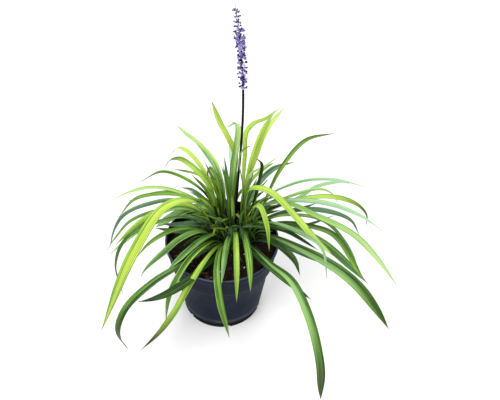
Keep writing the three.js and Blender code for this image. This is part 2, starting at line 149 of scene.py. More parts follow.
# How a leaf is coloured: tone from dark to lime, blue-green bloom, middle stripe (yellow, or below 0 a
# painted highlight in pale green on one half of the fold), and how dark its outer end is (below 0 it is
# pale).
LOOKS = {
    "lime": (0.94, 0.0, 0.2, 0.2),
    "bright": (1.1, 0.15, 0.15, -0.1),
    "sunny": (0.8, 0.1, 0.05, -0.35),
    "pale": (0.84, 0.4, 0.05, -0.4),
    "light": (0.8, 0.06, 0.1, 0.35),
    "fresh": (0.66, 0.45, 0.0, -0.5),
    "hooked": (0.82, 0.08, 0.15, 0.95),
    "green": (0.56, 0.14, 0.0, 0.3),
    "grass": (0.56, 0.35, 0.0, 0.0),
    "olive": (0.56, 0.0, 0.25, 0.5),
    "mint": (0.8, 0.9, 0.0, -0.5),
    "sage": (0.52, 0.75, 0.0, -0.45),
    "blue": (0.42, 1.0, 0.0, 0.4),
    "dusky": (0.36, 0.42, 0.0, 1.1),
    "dark": (0.18, 0.15, 0.0, 0.6),
    "turning": (0.12, 0.05, 0.1, -0.8),
    "shade": (0.42, 0.14, -0.9, 0.35),
    "shaded": (0.46, 0.1, -0.9, 0.9),
    "tipped": (0.3, 0.1, 0.0, -0.7),
    "gold": (0.84, 0.0, 1.0, 0.25),
}

# Shoots round the crown: azimuth and distance of each, then its leaves. A leaf is azimuth,
# width, look, path and the share of its length that keeps the full width. A path's points
# are reach from the middle of the clump, height above the compost, and a turn in degrees
# out of the leaf's upright plane.
SHOOTS = {
    "back_right": (58, 22, [
        (60, 7, "lime", [(23, 93), (25, 140), (27, 177), (45, 181), (80, 169), (126, 163)]),
        (69, 8, "bright", [(32, 44), (48, 71), (76, 90), (103, 110), (135, 116), (202, 107)], 0.75),
        (71, 6, "lime", [(30, 45), (49, 71), (67, 96), (95, 114), (126, 121), (173, 112)], 0.7),
        (56, 4.5, "pale", [(24, 60), (37, 94), (74, 85), (122, 79)]),
        (62, 6, "light", [(32, 55), (47, 72), (78, 69), (128, 53)]),
        (43, 9, "blue", [(30, 55), (52, 81), (76, 90), (120, 80)]),
        (20, 5.5, "dark", [(30, 60), (38, 108), (40, 125), (38, 134), (31, 141)], 0.92),
    ]),
    "right": (10, 25, [
        (349, 7, "mint", [(40, 66), (74, 87), (130, 96), (180, 84), (217, 61)]),
        (1, 7.5, "hooked", [(50, 53), (111, 81), (150, 82), (180, 69), (197, 48), (200, 25)]),
        (6, 5, "fresh", [(44, 53), (74, 72), (121, 88), (140, 81), (154, 60)]),
        (14, 5, "mint", [(45, 66), (95, 91), (150, 87), (206, 62)]),
        (18, 6, "mint", [(50, 32), (105, 54), (126, 68), (150, 71), (175, 67), (192, 52)]),
        (29, 7, "olive", [(50, 46), (74, 102), (112, 143), (165, 140)]),
        (12, 6, "blue", [(60, 30), (104, 40), (128, 47)]),
    ]),
    "low_right": (339, 18, [
        (328, 10, "sunny", [(24, 104), (42, 117), (62, 118), (84, 107), (109, 89), (136, 70),
                           (166, 55)], 0.8),
        (338, 8.5, "fresh", [(49, 83), (82, 98), (123, 92), (178, 79), (216, 50), (256, 4)],
         0.7),
        (344, 8, "blue", [(55, 56), (118, 90), (168, 87), (186, 61)]),
        (338, 5, "grass", [(67, 66), (120, 87), (145, 82), (173, 55), (187, 33), (195, 16)], 0.8),
        (331, 8, "turning", [(68, 60), (125, 84), (152, 87), (167, 79), (187, 56), (206, 31), (215, 22)],
         0.8),
        (332, 11, "grass", [(45, 42), (93, 62), (123, 62), (151, 56), (187, 36), (218, 16)], 0.75),
        (341, 6, "dark", [(45, 30), (80, 38), (132, 18)]),
        (357, 5, "blue", [(55, 20), (100, 27), (147, 55)]),
    ]),
    "front_right": (316, 31, [
        (328, 15, "shade", [(52, 29), (120, 39), (179, 33), (212, 18), (242, -8), (266, -35)], 0.75),
        (332, 9, "blue", [(50, 20, -9), (95, 29, -4), (152, 19)]),
        (315, 11, "dark", [(50, 37), (97, 49), (114, 47), (126, 41), (136, 22)]),
        (314, 5, "sage", [(60, 70), (130, 105), (168, 106), (184, 60)]),
    ]),
    "front_centre": (296, 19, [
        (301, 12, "shaded", [(50, 22), (105, 38), (161, 56), (203, 33), (240, -26), (255, -97)],
         0.86),
        (313, 10, "dusky", [(50, 16, -16), (106, 21, -9), (166, 0)]),
        (305, 8, "light", [(45, 92), (64, 110), (82, 88), (91, 44)]),
    ]),
    "front": (268, 29, [
        (270, 10, "green", [(60, 34, -15), (104, 36, -11), (130, 6, -6.5), (140, -72)]),
        (285, 10, "tipped", [(36, 48), (70, 61), (104, 46, -1), (121, 6, -1.5)]),
        (264, 9, "grass", [(48, 44), (88, 50), (121, 23)]),
        (274, 8, "light", [(42, 48), (78, 62), (115, 48), (134, 2)]),
    ]),
    "front_left": (239, 22, [
        (229, 9, "grass", [(41, 31), (72, 39), (126, 31), (133, 28)], 0.75),
        (227, 6, "green", [(52, 9), (68, 9), (92, 17)]),
        (231, 10, "dusky", [(76, 16), (119, 26), (163, 34), (207, 30), (222, 20), (232, 3),
                            (234, -17), (224, -59)], 0.72),
        (236, 9, "green", [(59, 32), (107, 37), (144, 13), (154, -3), (163, -42)]),
        (238, 12, "dark", [(68, 4, 5), (95, 15, 5), (121, 20, 5), (142, 22, 3), (166, 23),
                           (183, 20, -4), (197, 24, -6)]),
        (240, 9, "hooked", [(62, 27, 6), (95, 28, 5), (120, 19, 4), (139, 0, 2), (154, -22),
                          (178, -48, -3), (194, -55, -4), (215, -60, -5)], 0.7),
    ]),
    "left": (211, 28, [
        (220, 15, "gold", [(72, 110), (118, 124), (172, 68), (236, -50)]),
        (196, 9.5, "fresh", [(55, 60), (98, 74), (141, 44), (189, 0)]),
        (205, 6, "dusky", [(80, 66), (154, 61), (173, 43), (185, 7), (185, -22), (182, -58)], 0.7),
        (195, 7.5, "light", [(57, 66), (87, 80), (129, 62), (155, 40), (171, 23), (179, 14)], 0.75),
        (208, 7, "green", [(56, 35), (91, 50), (116, 48), (138, 37), (154, 20)]),
        (221, 9, "grass", [(63, 47), (100, 53), (125, 44), (149, 35), (160, 28), (166, 20)]),
        (198, 8, "blue", [(54, 18), (90, 30), (119, 44)]),
        (204, 10, "blue", [(51, 40), (82, 49), (109, 60)]),
        (218, 7, "dark", [(48, 20), (66, 31), (92, 30)]),
        (201, 6, "dark", [(40, 12), (52, 13), (66, 27)]),
    ]),
    "far_left": (177, 21, [
        (167, 6, "pale", [(55, 53), (97, 67), (132, 63), (168, 44), (199, 19)]),
        (166, 7, "fresh", [(55, 46), (78, 58), (103, 58), (135, 45), (173, 21)]),
        (172, 6, "green", [(50, 58), (95, 66), (150, 48), (185, 0)]),
        (185, 7, "blue", [(45, 50), (88, 74), (129, 66), (152, 55), (168, 40), (182, 12), (191, -20)],
         0.8),
        (187, 5, "grass", [(60, 50), (102, 59), (152, 40), (180, 4), (196, -22)]),
        (185, 12, "fresh", [(40, 55), (66, 56), (91, 42), (118, 19)], 0.85),
        (180, 6, "fresh", [(40, 50), (73, 55), (99, 50)]),
        (185, 5, "mint", [(47, 30), (74, 42), (90, 46)]),
        (190, 5, "sage", [(34, 25), (47, 32), (67, 46)]),
    ]),
    "back_left": (142, 26, [
        (119, 8, "pale", [(36, 57), (61, 91), (115, 89), (180, 70), (224, 58)], 0.75),
        (119, 8, "mint", [(41, 51), (60, 80), (111, 86), (155, 76)]),
        (133, 7, "bright", [(42, 55), (68, 77), (90, 89), (115, 93), (140, 83), (155, 62)], 0.7),
        (137, 4.5, "hooked", [(36, 60), (69, 72), (143, 44)]),
        (143, 9, "hooked", [(46, 64), (66, 84), (102, 93), (118, 87), (132, 75), (142, 58)]),
        (150, 6, "green", [(42, 50), (80, 69), (130, 65), (181, 19)]),
        (155, 6, "blue", [(42, 42), (71, 60), (94, 56)]),
        (132, 5, "olive", [(33, 65), (51, 93), (61, 94), (65, 72)], 0.85),
        (138, 4, "olive", [(30, 62), (40, 81), (56, 82)]),
        (151, 5, "green", [(36, 60), (50, 70), (64, 80)]),
    ]),
    "back": (102, 22, [
        (115, 8, "gold", [(26, 90, -20), (27, 136, -22), (35, 162, -4), (57, 174, 1), (90, 187)],
         0.85),
        (84, 9, "fresh", [(24, 60, 23), (23, 119, 15), (22, 150, 6), (22, 186), (24, 193, 7),
                         (28, 184, 30)], 0.85),
        (92, 6, "blue", [(28, 60), (34, 92), (48, 130)]),
        (96, 7, "mint", [(38, 50), (80, 76), (150, 60)]),
    ]),
    "heart": (235, 5, [
        (200, 6, "blue", [(12, 60), (20, 118)]),
        (262, 6, "light", [(12, 55), (24, 105)]),
        (150, 6, "green", [(10, 62), (20, 128)]),
        (330, 7, "green", [(12, 60), (13, 98), (10, 119), (6, 141), (8, 162), (15, 174), (26, 184)]),
    ]),
}
YOUNG_PER_SHOOT = 2
YOUNG_REACH = (44, 78)
YOUNG_TIP = (62, 112)
YOUNG_WIDTH = (4.5, 7)
YOUNG_SPREAD = 8
YOUNG_LOOKS = ("green", "blue", "olive", "light", "green")
SPROUT_REACH = (14, 62)
SPROUT_TOP = (34, 96)
SPROUT_WIDTH = (3, 4.6)
SPROUT_SPREAD = 70
SPROUT_LOOKS = ("green", "dark", "olive", "green", "light", "blue", "dark")

Leaf = namedtuple("Leaf", "azimuth width look path full", defaults=[FULL_SHARE])


# ---------------------------------------------------------------- small tools
def mix(low, high, share):
    """The number at a share of the way from low to high."""
    return low + (high - low) * share


def smooth(value, low, high):
    """0 below low, 1 above high, and a smooth rise between."""
    share = min(1.0, max(0.0, (value - low) / (high - low)))
    return share * share * (3 - 2 * share)


def colour(red, green, blue):
    """A display colour from 0 to 255 as the linear colour that a material takes."""
    linear = []
    for part in (red, green, blue):
        part /= 255
        linear.append(part / 12.92 if part < 0.04045 else ((part + 0.055) / 1.055) ** 2.4)
    return (*linear, 1.0)


def random_from(seed):
    """Repeatable random numbers from 0 to 1."""
    state = seed

    def draw():
        nonlocal state
        state = (state * 1664525 + 1013904223) % 4294967296
        return state / 4294967296

    return draw


def level_way(angle):
    """The level direction at an angle in radians."""
    return Vector((math.cos(angle), math.sin(angle), 0))


def around(azimuth, distance, height):
    """A point at an azimuth and a distance from the middle of the clump."""
    middle = Vector((*CROWN, SOIL_TOP + height))
    return middle + level_way(math.radians(azimuth)) * distance


def add_object(name, data):
    """A new object in the scene."""
    made = bpy.data.objects.new(name, data)
    bpy.context.scene.collection.objects.link(made)
    return made


class Shape:
    """Points and faces of one piece, in millimetres, with numbers kept at each point."""

    def __init__(self, **kinds):
        self.points = []
        self.faces = []
        self.kinds = kinds
        self.fields = {name: [] for name in kinds}

    def add(self, points, faces, **values):
        """Adds points and faces. A field's value is one for all the points, or a list."""
        start = len(self.points)
        self.points.extend(points)
        self.faces.extend(tuple(start + i for i in face) for face in faces)
        for name, kept in self.fields.items():
            value = values[name]
            kept.extend(value if isinstance(value, list) else [value] * len(points))

    def make(self, name, finish, node):
        """Makes the object, rides it on the root body and lets it stand for the node."""
        mesh = bpy.data.meshes.new(name)
        mesh.from_pydata([tuple(c * MM for c in p) for p in self.points], [], self.faces)
        for field, kind in self.kinds.items():
            layer = mesh.attributes.new(field, kind, "POINT")
            values = self.fields[field]
            if kind == "FLOAT":
                layer.data.foreach_set("value", values)
            else:
                layer.data.foreach_set("vector", [part for value in values for part in value])
        mesh.shade_smooth()
        mesh.update()
        mesh.materials.append(finish)
        made = add_object(name, mesh)
        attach(made, "root")
        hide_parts(node)
        return made


def level_ring(radius, height, sides):
    """Points of a level round about the Z axis."""
    return [level_way(2 * math.pi * k / sides) * radius + Vector((0, 0, height))
            for k in range(sides)]


def skin(rings):
    """Points and side faces over rings of the same number of points."""
    count = len(rings[0])
    faces = []
    for low in range(0, (len(rings) - 1) * count, count):
        for k in range(count):
            n = (k + 1) % count
            faces.append((low + k, low + n, low + count + n, low + count + k))
    return [point for ring in rings for point in ring], faces


def loft(rings):
    """A skin over rings with a flat face at each end."""
    points, faces = skin(rings)
    count = len(rings[0])
    faces.append(tuple(reversed(range(count))))
    faces.append(tuple(range(len(points) - count, len(points))))
    return points, faces


def fanned(rings, first, last):
    """A skin over rings with a fan of faces to a point at each end."""
    points, faces = skin(rings)
    count = len(rings[0])
    foot, top = len(points), len(points) - count
    for k in range(count):
        n = (k + 1) % count
        faces.append((foot, n, k))
        faces.append((top + k, top + n, foot + 1))
    return [*points, Vector(first), Vector(last)], faces


def turned(profile, sides):
    """A lathe about the Z axis. The profile starts and ends on the axis."""
    rings = [level_ring(radius, height, sides) for radius, height in profile[1:-1]]
    return fanned(rings, (0, 0, profile[0][1]), (0, 0, profile[-1][1]))


def tube(middles, radii, sides):
    """A round skin along a line of points."""
    rings = []
    side = None
    for i, middle in enumerate(middles):
        ahead = middles[min(i + 1, len(middles) - 1)] - middles[max(i - 1, 0)]
        ahead.normalize()
        if side is None:
            side = ahead.orthogonal()
        side = (side - ahead * side.dot(ahead)).normalized()
        other = ahead.cross(side)
        rings.append([
            middle + (side * math.cos(a) + other * math.sin(a)) * radii[i]
            for a in (2 * math.pi * k / sides for k in range(sides))
        ])
    return loft(rings)


def taken_from(block):
    """The points and faces of a bmesh, which is then freed."""
    points = [v.co.copy() for v in block.verts]
    faces = [tuple(v.index for v in face.verts) for face in block.faces]
    block.free()
    return points, faces


def lump(size, rough, draw, detail=1):
    """An irregular grain: a ball with its points pushed in and out."""
    ball = bmesh.new()
    bmesh.ops.create_icosphere(ball, subdivisions=detail, radius=1)
    points, faces = taken_from(ball)
    return [p * (1 + rough * (draw() - 0.5)) * Vector(size) for p in points], faces


def placed(points, turn, tilt, middle):
    """Points tilted, turned about Z and moved to their place."""
    move = (Matrix.Translation(middle) @ Matrix.Rotation(turn, 4, "Z")
            @ Matrix.Rotation(tilt, 4, "X"))
    return [move @ p for p in points]


# ---------------------------------------------------------------- materials
# Where the colour mix node takes its share and its two colours, and gives its result.
MIX_SHARE = 0
MIX_UNDER = 6
MIX_OVER = 7
MIX_RESULT = 2


class Value:
    """A number in a material's nodes. Maths on it adds the nodes that do it."""

    def __init__(self, finish, socket):
        self.finish = finish
        self.socket = socket

    def maths(self, operation, *others, clamp=False):
        made = self.finish.node("ShaderNodeMath", {"operation": operation, "use_clamp": clamp},
                                dict(enumerate((self, *others))))
        return Value(self.finish, made.outputs[0])

    def __add__(self, other):
        return self.maths("ADD", other)

    __radd__ = __add__

    def __sub__(self, other):
        return self.maths("SUBTRACT", other)

    def __rsub__(self, other):
        return (self * -1).maths("ADD", other)

    def __mul__(self, other):
        return self.maths("MULTIPLY", other)

    def __abs__(self):
        return self.maths("ABSOLUTE")

    def cosine(self):
        return self.maths("COSINE")

    def held(self):
        """The number kept between 0 and 1."""
        return self.maths("ADD", 0.0, clamp=True)

    def from_to(self, low, high):
        """0 below low, 1 above high, and a smooth rise between."""
        made = self.finish.node("ShaderNodeMapRange", {"interpolation_type": "SMOOTHSTEP"},
                                {"Value": self, "From Min": low, "From Max": high})
        return Value(self.finish, made.outputs["Result"])


class Finish:
    """One material: a node tree with its main shader, and a method for any other node."""

    def __init__(self, name, **constants):
        self.material = bpy.data.materials.new(name)
        self.material.use_nodes = True
        self.tree = self.material.node_tree
        self.tree.nodes.clear()
        output = self.tree.nodes.new("ShaderNodeOutputMaterial")
        self.shader = self.tree.nodes.new("ShaderNodeBsdfPrincipled")
        self.tree.links.new(self.shader.outputs["BSDF"], output.inputs["Surface"])
        for socket, value in constants.items():
            self.shader.inputs[socket.replace("_", " ")].default_value = value

    def feed(self, socket, value):
        """Links a value or an output to an input, or sets the input to a constant."""
        if isinstance(value, Value):
            self.tree.links.new(value.socket, socket)
        elif isinstance(value, bpy.types.NodeSocket):
            self.tree.links.new(value, socket)
        else:
            socket.default_value = value

    def node(self, kind, settings, sockets):
        made = self.tree.nodes.new(kind)
        for name, value in settings.items():
            if name == "stops":
                ramp = made.color_ramp.elements
                while len(ramp) < len(value):
                    ramp.new(1.0)
                for stop, (place, *shade) in zip(ramp, value):
                    stop.position = place
                    stop.color = colour(*shade)
            else:
                setattr(made, name, value)
        for name, value in sockets.items():
            self.feed(made.inputs[name], value)
        return made

    def field(self, name):
        """The number kept at the mesh's points under this name."""
        made = self.node("ShaderNodeAttribute", {"attribute_name": name}, {})
        return Value(self, made.outputs["Fac"])

    def fields(self, name):
        """The three numbers kept at the mesh's points under this name."""
        made = self.node("ShaderNodeAttribute", {"attribute_name": name}, {})
        return self.parts(made.outputs["Vector"])

    def parts(self, vector):
        split = self.node("ShaderNodeSeparateXYZ", {}, {"Vector": vector})
        return [Value(self, split.outputs[axis]) for axis in "XYZ"]

    def place(self):
        """Where the surface is on the object, in metres."""
        return self.node("ShaderNodeTexCoord", {}, {}).outputs["Object"]

    def vector(self, x, y, z):
        return self.node("ShaderNodeCombineXYZ", {}, {"X": x, "Y": y, "Z": z}).outputs[0]

    def grain(self, where, scale, detail, rough=0.5):
        made = self.node("ShaderNodeTexNoise", {}, {
            "Vector": where, "Scale": scale, "Detail": detail, "Roughness": rough})
        return Value(self, made.outputs["Fac"])

    def layers(self, base, *coats):
        """A base colour with other colours laid over it in turn, each by its share."""
        for shade, share in coats:
            made = self.node("ShaderNodeMix", {"data_type": "RGBA"},
                             {MIX_SHARE: share, MIX_UNDER: base, MIX_OVER: shade})
            base = made.outputs[MIX_RESULT]
        return base

    def scale_of(self, value, *stops):
        """A colour picked along a scale of stops: place, red, green and blue."""
        return self.node("ShaderNodeValToRGB", {"stops": stops}, {"Fac": value}).outputs["Color"]

    def paint(self, base, roughness):
        self.feed(self.shader.inputs["Base Color"], base)
        self.feed(self.shader.inputs["Roughness"], roughness)

    def relief(self, height, distance):
        made = self.node("ShaderNodeBump", {}, {"Distance": distance, "Height": height})
        self.feed(self.shader.inputs["Normal"], made.outputs["Normal"])


def leaf_finish(settings):
    finish = Finish("leaf_blade", Specular_IOR_Level=0.16, Subsurface_Weight=0.12,
                    Subsurface_Radius=(0.5, 1.0, 0.2), Subsurface_Scale=0.0012)
    tone, bloom, stripe = finish.fields("leaf_look")
    across, along, under = finish.fields("leaf_place")
    dusk = finish.field("leaf_dusk")
    own = finish.field("leaf_own")
    strands = finish.grain(finish.vector(across * 3.2, along * 2.2, own * 57), 2.0, 3.0)
    bands = finish.grain(finish.vector(across * 1.5, along * 1.6, own * 131), 1.0, 1.0)
    patches = finish.grain(finish.vector(across * 0.5, along * 7, own * 91), 1.0, 2.0)
    lines = finish.grain(finish.vector(across * 4.5, along * 1.2, own * 211), 1.0, 1.0)
    veins = (across * 17 + own * 5).cosine() * 0.5 + 0.5

    # Painted light and shade: one side of each folded blade is painted lighter and the other darker, a
    # different side on different leaves.
    half = across * (own - 0.5) * 0.3
    paler_end = along.from_to(0.3, 0.9) * (dusk * -0.5).held()
    level = (tone + (strands - 0.5) * 0.5 + (lines - 0.5) * 1.1 + (bands - 0.5) * 0.65
             + (patches - 0.5) * 0.3 + half + paler_end - 0.02)
    green = finish.scale_of(level, (0.0, 16, 30, 14), (0.25, 46, 78, 28), (0.5, 92, 136, 48),
                            (0.75, 138, 182, 62), (1.0, 190, 216, 92))
    cool = finish.scale_of(level, (0.0, 28, 46, 34), (0.5, 92, 130, 94), (1.0, 180, 218, 170))

    middle = 1 - abs(across - 0.12).from_to(0.05, 0.52)
    thin_lines = (across * 38 + strands * 4).cosine() * 0.25 + 0.75
    golden = (stripe * middle * thin_lines * (0.1 + along.from_to(0.2, 0.5) * 0.9)
              * (1 - along.from_to(0.6, 0.95) * 0.8) * 0.8)
    # Painted highlight: leaves whose stripe is below 0 get one half of the fold painted pale green, as
    # if lit.
    painted_lit_half = 1 - across.from_to(-0.05, 0.35)
    pale = stripe * painted_lit_half * (1 - along.from_to(0.55, 0.9)) * (0.5 + lines * 0.7) * -0.9
    bare_end = along.from_to(0.4, 0.8) * dusk.held() * 0.5
    blue = bloom * 1.25 - (1 - along) * 0.45 + under * 0.3 - bare_end
    dark_end = along.from_to(0.58, 0.95) * dusk * (0.5 + patches * 0.8)
    # Painted shade: each leaf is darkened towards its foot, where the crowded bases of the crown shade
    # one another.
    foot = 1 - along.from_to(0.02, 0.36)
    dry_tip = (along + (strands - 0.5) * 0.02).from_to(0.962, 0.99)
    base = finish.layers(
        green,
        (colour(208, 202, 80), golden),
        # painted highlight in pale green on one half of the fold
        (colour(152, 194, 120), pale),
        (cool, blue),
        (colour(40, 72, 20), veins * 0.26),
        (colour(38, 56, 18), dark_end),
        # painted shade towards the foot of each leaf
        (colour(26, 46, 20), foot * 0.8),
        (colour(104, 88, 62), dry_tip * 0.85),
    )
    finish.paint(base, settings.leaf_roughness + (strands - 0.5) * 0.2)
    finish.relief(veins * 0.6 + strands * 0.8, settings.vein_depth)
    return finish.material


def pot_finish(settings):
    finish = Finish("moulded_plastic", Specular_IOR_Level=0.04)
    where = finish.place()
    x, y, z = finish.parts(where)
    height = z * (1 / MM)
    # Painted shade: the inside of the pot is darkened, more the deeper in; the painted highlights keep
    # to the outside.
    inside = finish.field("pot_inside")
    outside = 1 - inside
    cloud = finish.grain(where, 28.0, 4.0)
    speck = finish.grain(where, 900.0, 3.0)
    rings = finish.grain(finish.vector(x * 60, y * 60, z * 900), 1.0, 3.0)
    rubbed = (cloud - 0.42) * 1.5 + (rings - 0.5) * 0.7
    scuff = height.from_to(12, 13.5) * (1 - height.from_to(16, 24))
    scuff = scuff * (cloud + rings).from_to(0.5, 1.2)
    # Painted highlight: a thin lighter line along the edge of the step, on the outside only.
    step_highlight = (height.from_to(STEP_HEIGHT - 1.5, STEP_HEIGHT)
            * (1 - height.from_to(STEP_HEIGHT + 0.5, STEP_HEIGHT + 2.5)) * outside)
    # Painted highlight: a lighter line along the top edge of the rim, on the outside only; it also makes
    # the rim a little glossier.
    rim_highlight = height.from_to(POT_HEIGHT - 1.8, POT_HEIGHT - 0.4) * outside
    foot = 1 - height.from_to(11.2, 13.4)
    base = finish.layers(
        (*settings.plastic, 1.0),
        ((*settings.plastic_light, 1.0), rubbed),
        (colour(74, 78, 82), scuff * 0.7),
        (colour(84, 94, 118), step_highlight * (0.15 + cloud * 0.5)),
        (colour(88, 96, 114), rim_highlight * (0.2 + cloud * 0.7)),
        (colour(7, 8, 10), foot * 0.9),
        # painted shade inside the pot
        (colour(8, 9, 12), inside * 0.85),
    )
    finish.paint(base, settings.plastic_roughness + (speck - 0.5) * 0.2 - rim_highlight * 0.12)
    finish.relief(speck * 0.6 + rings * 0.8, 0.00012)
    return finish.material


def compost_finish():
    finish = Finish("bark_compost", Specular_IOR_Level=0.2)
    where = finish.place()
    stuff = finish.field("compost_stuff")
    coarse = finish.grain(where, 160.0, 4.0, 0.65)
    fine = finish.grain(where, 900.0, 3.0, 0.7)
    level = stuff + (coarse - 0.5) * 0.6 + (fine - 0.5) * 0.25 - 0.07
    base = finish.scale_of(level, (0.0, 14, 9, 7), (0.2, 36, 23, 17), (0.4, 68, 47, 35),
                           (0.6, 128, 94, 66), (0.78, 176, 148, 112), (0.95, 226, 220, 208))
    finish.paint(base, 0.85 + (fine - 0.5) * 0.2)
    finish.relief(coarse + fine * 0.6, 0.0012)
    return finish.material


def stem_finish(settings):
    finish = Finish("dark_stem", Specular_IOR_Level=0.04)
    x, y, z = finish.parts(finish.place())
    strands = finish.grain(finish.vector(x * 900, y * 900, z * 40), 1.0, 3.0)
    base = finish.layers((*settings.stem, 1.0), ((*settings.stem_light, 1.0), strands * 0.8))
    finish.paint(base, 0.42 + (strands - 0.5) * 0.2)
    finish.relief(strands, 0.0002)
    return finish.material


def floret_finish():
    finish = Finish("florets", Specular_IOR_Level=0.15, Subsurface_Weight=0.1,
                    Subsurface_Radius=(0.6, 0.4, 1.0), Subsurface_Scale=0.001)
    tone, ripeness, own = finish.fields("floret_look")
    grain = finish.grain(finish.place(), 700.0, 2.0)
    level = tone + (grain - 0.5) * 0.3 + (own - 0.5) * 0.25
    violet = finish.scale_of(level, (0.0, 16, 10, 26), (0.3, 48, 30, 96), (0.6, 94, 76, 158),
                             (0.8, 154, 142, 202), (1.0, 216, 210, 234))
    base = finish.layers(
        violet,
        (colour(84, 82, 92), ripeness * 0.9),
        (colour(186, 184, 194), ripeness.from_to(0.8, 1.2)),
    )
    finish.paint(base, 0.55 + (grain - 0.5) * 0.2)
    finish.relief(grain, 0.0002)
    return finish.material


# ---------------------------------------------------------------- pot
def pot_profile():
    """The pot from its foot up the outside and down the inside: radius, height, and how far inside,
    which sets the painted shade there.
    """
    lip_foot = POT_HEIGHT - LIP_HEIGHT
    outside = [
        (0, 0),
        (FOOT_RADIUS - 8, 0),
        (FOOT_RADIUS - EDGE, 0),
        (FOOT_RADIUS - SOFT_EDGE, SOFT_EDGE),
        (FOOT_RADIUS, EDGE),
        (BODY_FOOT_RADIUS - EDGE, FOOT_HEIGHT - EDGE),
        (BODY_FOOT_RADIUS - 0.2, FOOT_HEIGHT - 0.4),
        (BODY_FOOT_RADIUS, FOOT_HEIGHT),
        (BODY_FOOT_RADIUS + 0.8, FOOT_HEIGHT + 5),
        (mix(BODY_FOOT_RADIUS, SHOULDER_RADIUS, 0.5), mix(FOOT_HEIGHT, STEP_HEIGHT, 0.5)),
        (SHOULDER_RADIUS, STEP_HEIGHT - EDGE),
        (SHOULDER_RADIUS + 0.6, STEP_HEIGHT - 0.4),
        (BAND_FOOT_RADIUS - EDGE, STEP_HEIGHT),
        (BAND_FOOT_RADIUS - SOFT_EDGE, STEP_HEIGHT + SOFT_EDGE),
        (BAND_FOOT_RADIUS, STEP_HEIGHT + EDGE),
        (mix(BAND_FOOT_RADIUS, BAND_TOP_RADIUS, 0.5), mix(STEP_HEIGHT, lip_foot, 0.5)),
        (BAND_TOP_RADIUS, lip_foot - EDGE),
        (BAND_TOP_RADIUS + 0.5, lip_foot - 0.4),
        (RIM_RADIUS - 0.2, lip_foot),
        (RIM_RADIUS, lip_foot + 0.5),
        (RIM_RADIUS, POT_HEIGHT - EDGE),
        (RIM_RADIUS - SOFT_EDGE, POT_HEIGHT - SOFT_EDGE),
        (RIM_RADIUS - EDGE, POT_HEIGHT),
    ]
    inside = [
        (BAND_TOP_RADIUS - EDGE, POT_HEIGHT, 0.2),
        (BAND_TOP_RADIUS - WALL, POT_HEIGHT - LIP_SHELF, 0.8),
        (BAND_FOOT_RADIUS - WALL, STEP_HEIGHT + WALL, 1),
        (SHOULDER_RADIUS - WALL, STEP_HEIGHT, 1),
        (BODY_FOOT_RADIUS - WALL - EDGE, FLOOR + WELL_RISE, 1),
        (FOOT_RADIUS - 2 * WALL, FLOOR, 1),
        (0, FLOOR, 1),
    ]
    return [(radius, height, 0) for radius, height in outside] + inside


def build_pot(settings):
    profile = pot_profile()
    shape = Shape(pot_inside="FLOAT")
    points, faces = turned([row[:2] for row in profile], settings.pot_sides)
    inside = [row[2] for row in profile[1:-1] for _ in range(settings.pot_sides)]
    shape.add(points, faces, pot_inside=[*inside, profile[0][2], profile[-1][2]])
    pot = shape.make("nursery_pot", pot_finish(settings), "pot")
    cut_notches(pot)
    pot.data.set_sharp_from_angle(angle=math.radians(SHARP_ANGLE))


def cut_notches(pot):
    """Cuts the drain notches through the pot's foot ring."""
    blocks = bmesh.new()
    size = Matrix.Diagonal((NOTCH_DEPTH * MM, NOTCH_WIDTH * MM, 2 * NOTCH_HEIGHT * MM, 1))
    reach = Matrix.Translation((FOOT_RADIUS * MM, 0, 0))
    for i in range(NOTCH_COUNT):
        turn = Matrix.Rotation(math.radians(NOTCH_TURN + 360 / NOTCH_COUNT * i), 4, "Z")
        bmesh.ops.create_cube(blocks, size=1, matrix=turn @ reach @ size)
    mesh = bpy.data.meshes.new("notch_cutter")
    blocks.to_mesh(mesh)
    blocks.free()
    cutter = add_object("notch_cutter", mesh)
    cut = pot.modifiers.new("notches", "BOOLEAN")
    cut.operation = "DIFFERENCE"
    cut.solver = "EXACT"
    cut.object = cutter
    bpy.context.view_layer.update()
    seen = pot.evaluated_get(bpy.context.evaluated_depsgraph_get())
    cut_mesh = bpy.data.meshes.new_from_object(seen)
    pot.modifiers.clear()
    pot.data = cut_mesh
    bpy.data.objects.remove(cutter)
    bpy.data.meshes.remove(mesh)


# ---------------------------------------------------------------- compost
def surface_height(x, y):
    swell = math.sin(x * 0.11 + 1.3) * math.cos(y * 0.09 - 0.4)
    crumbs = math.sin(x * 0.31 + y * 0.17) * math.sin(y * 0.37 - x * 0.12 + 2)
    return SOIL_TOP + SOIL_RELIEF * (0.55 * swell + 0.45 * crumbs)


def on_compost(x, y, lift=0):
    """A point on the compost's crumbly surface, or a little above it."""
    rough = noise.fractal(Vector((x * 0.22, y * 0.22, 4.0)), 0.8, 2.1, 4)
    fine = noise.noise(Vector((x * 0.9, y * 0.9, 9.0)))
    return Vector((x, y, surface_height(x, y) + 0.9 * rough + 0.45 * fine + lift))


def compost_radius():
    rise = (SOIL_TOP - STEP_HEIGHT) / (POT_HEIGHT - LIP_SHELF - STEP_HEIGHT)
    return mix(BAND_FOOT_RADIUS, BAND_TOP_RADIUS, rise) - WALL - 2 * GAP


def rough_chip(size, draw):
    """A bark chip: a block with broken ends and worn corners."""
    block = bmesh.new()
    bmesh.ops.create_cube(block, size=1)
    bmesh.ops.subdivide_edges(block, edges=block.edges, cuts=2, use_grid_fill=True)
    points, faces = taken_from(block)
    own = draw() * 50
    worn = []
    for p in points:
        corner = (abs(p.x) + abs(p.y) + abs(p.z)) / 1.5
        p *= Vector(size)
        push = 0.5 * size[2] * noise.noise(p * (2.2 / size[1]) + Vector((own, own, 0)))
        worn.append(p * (1.06 - 0.26 * corner ** 3) + Vector((push * 1.6, push, push * 0.6)))
    return worn, faces


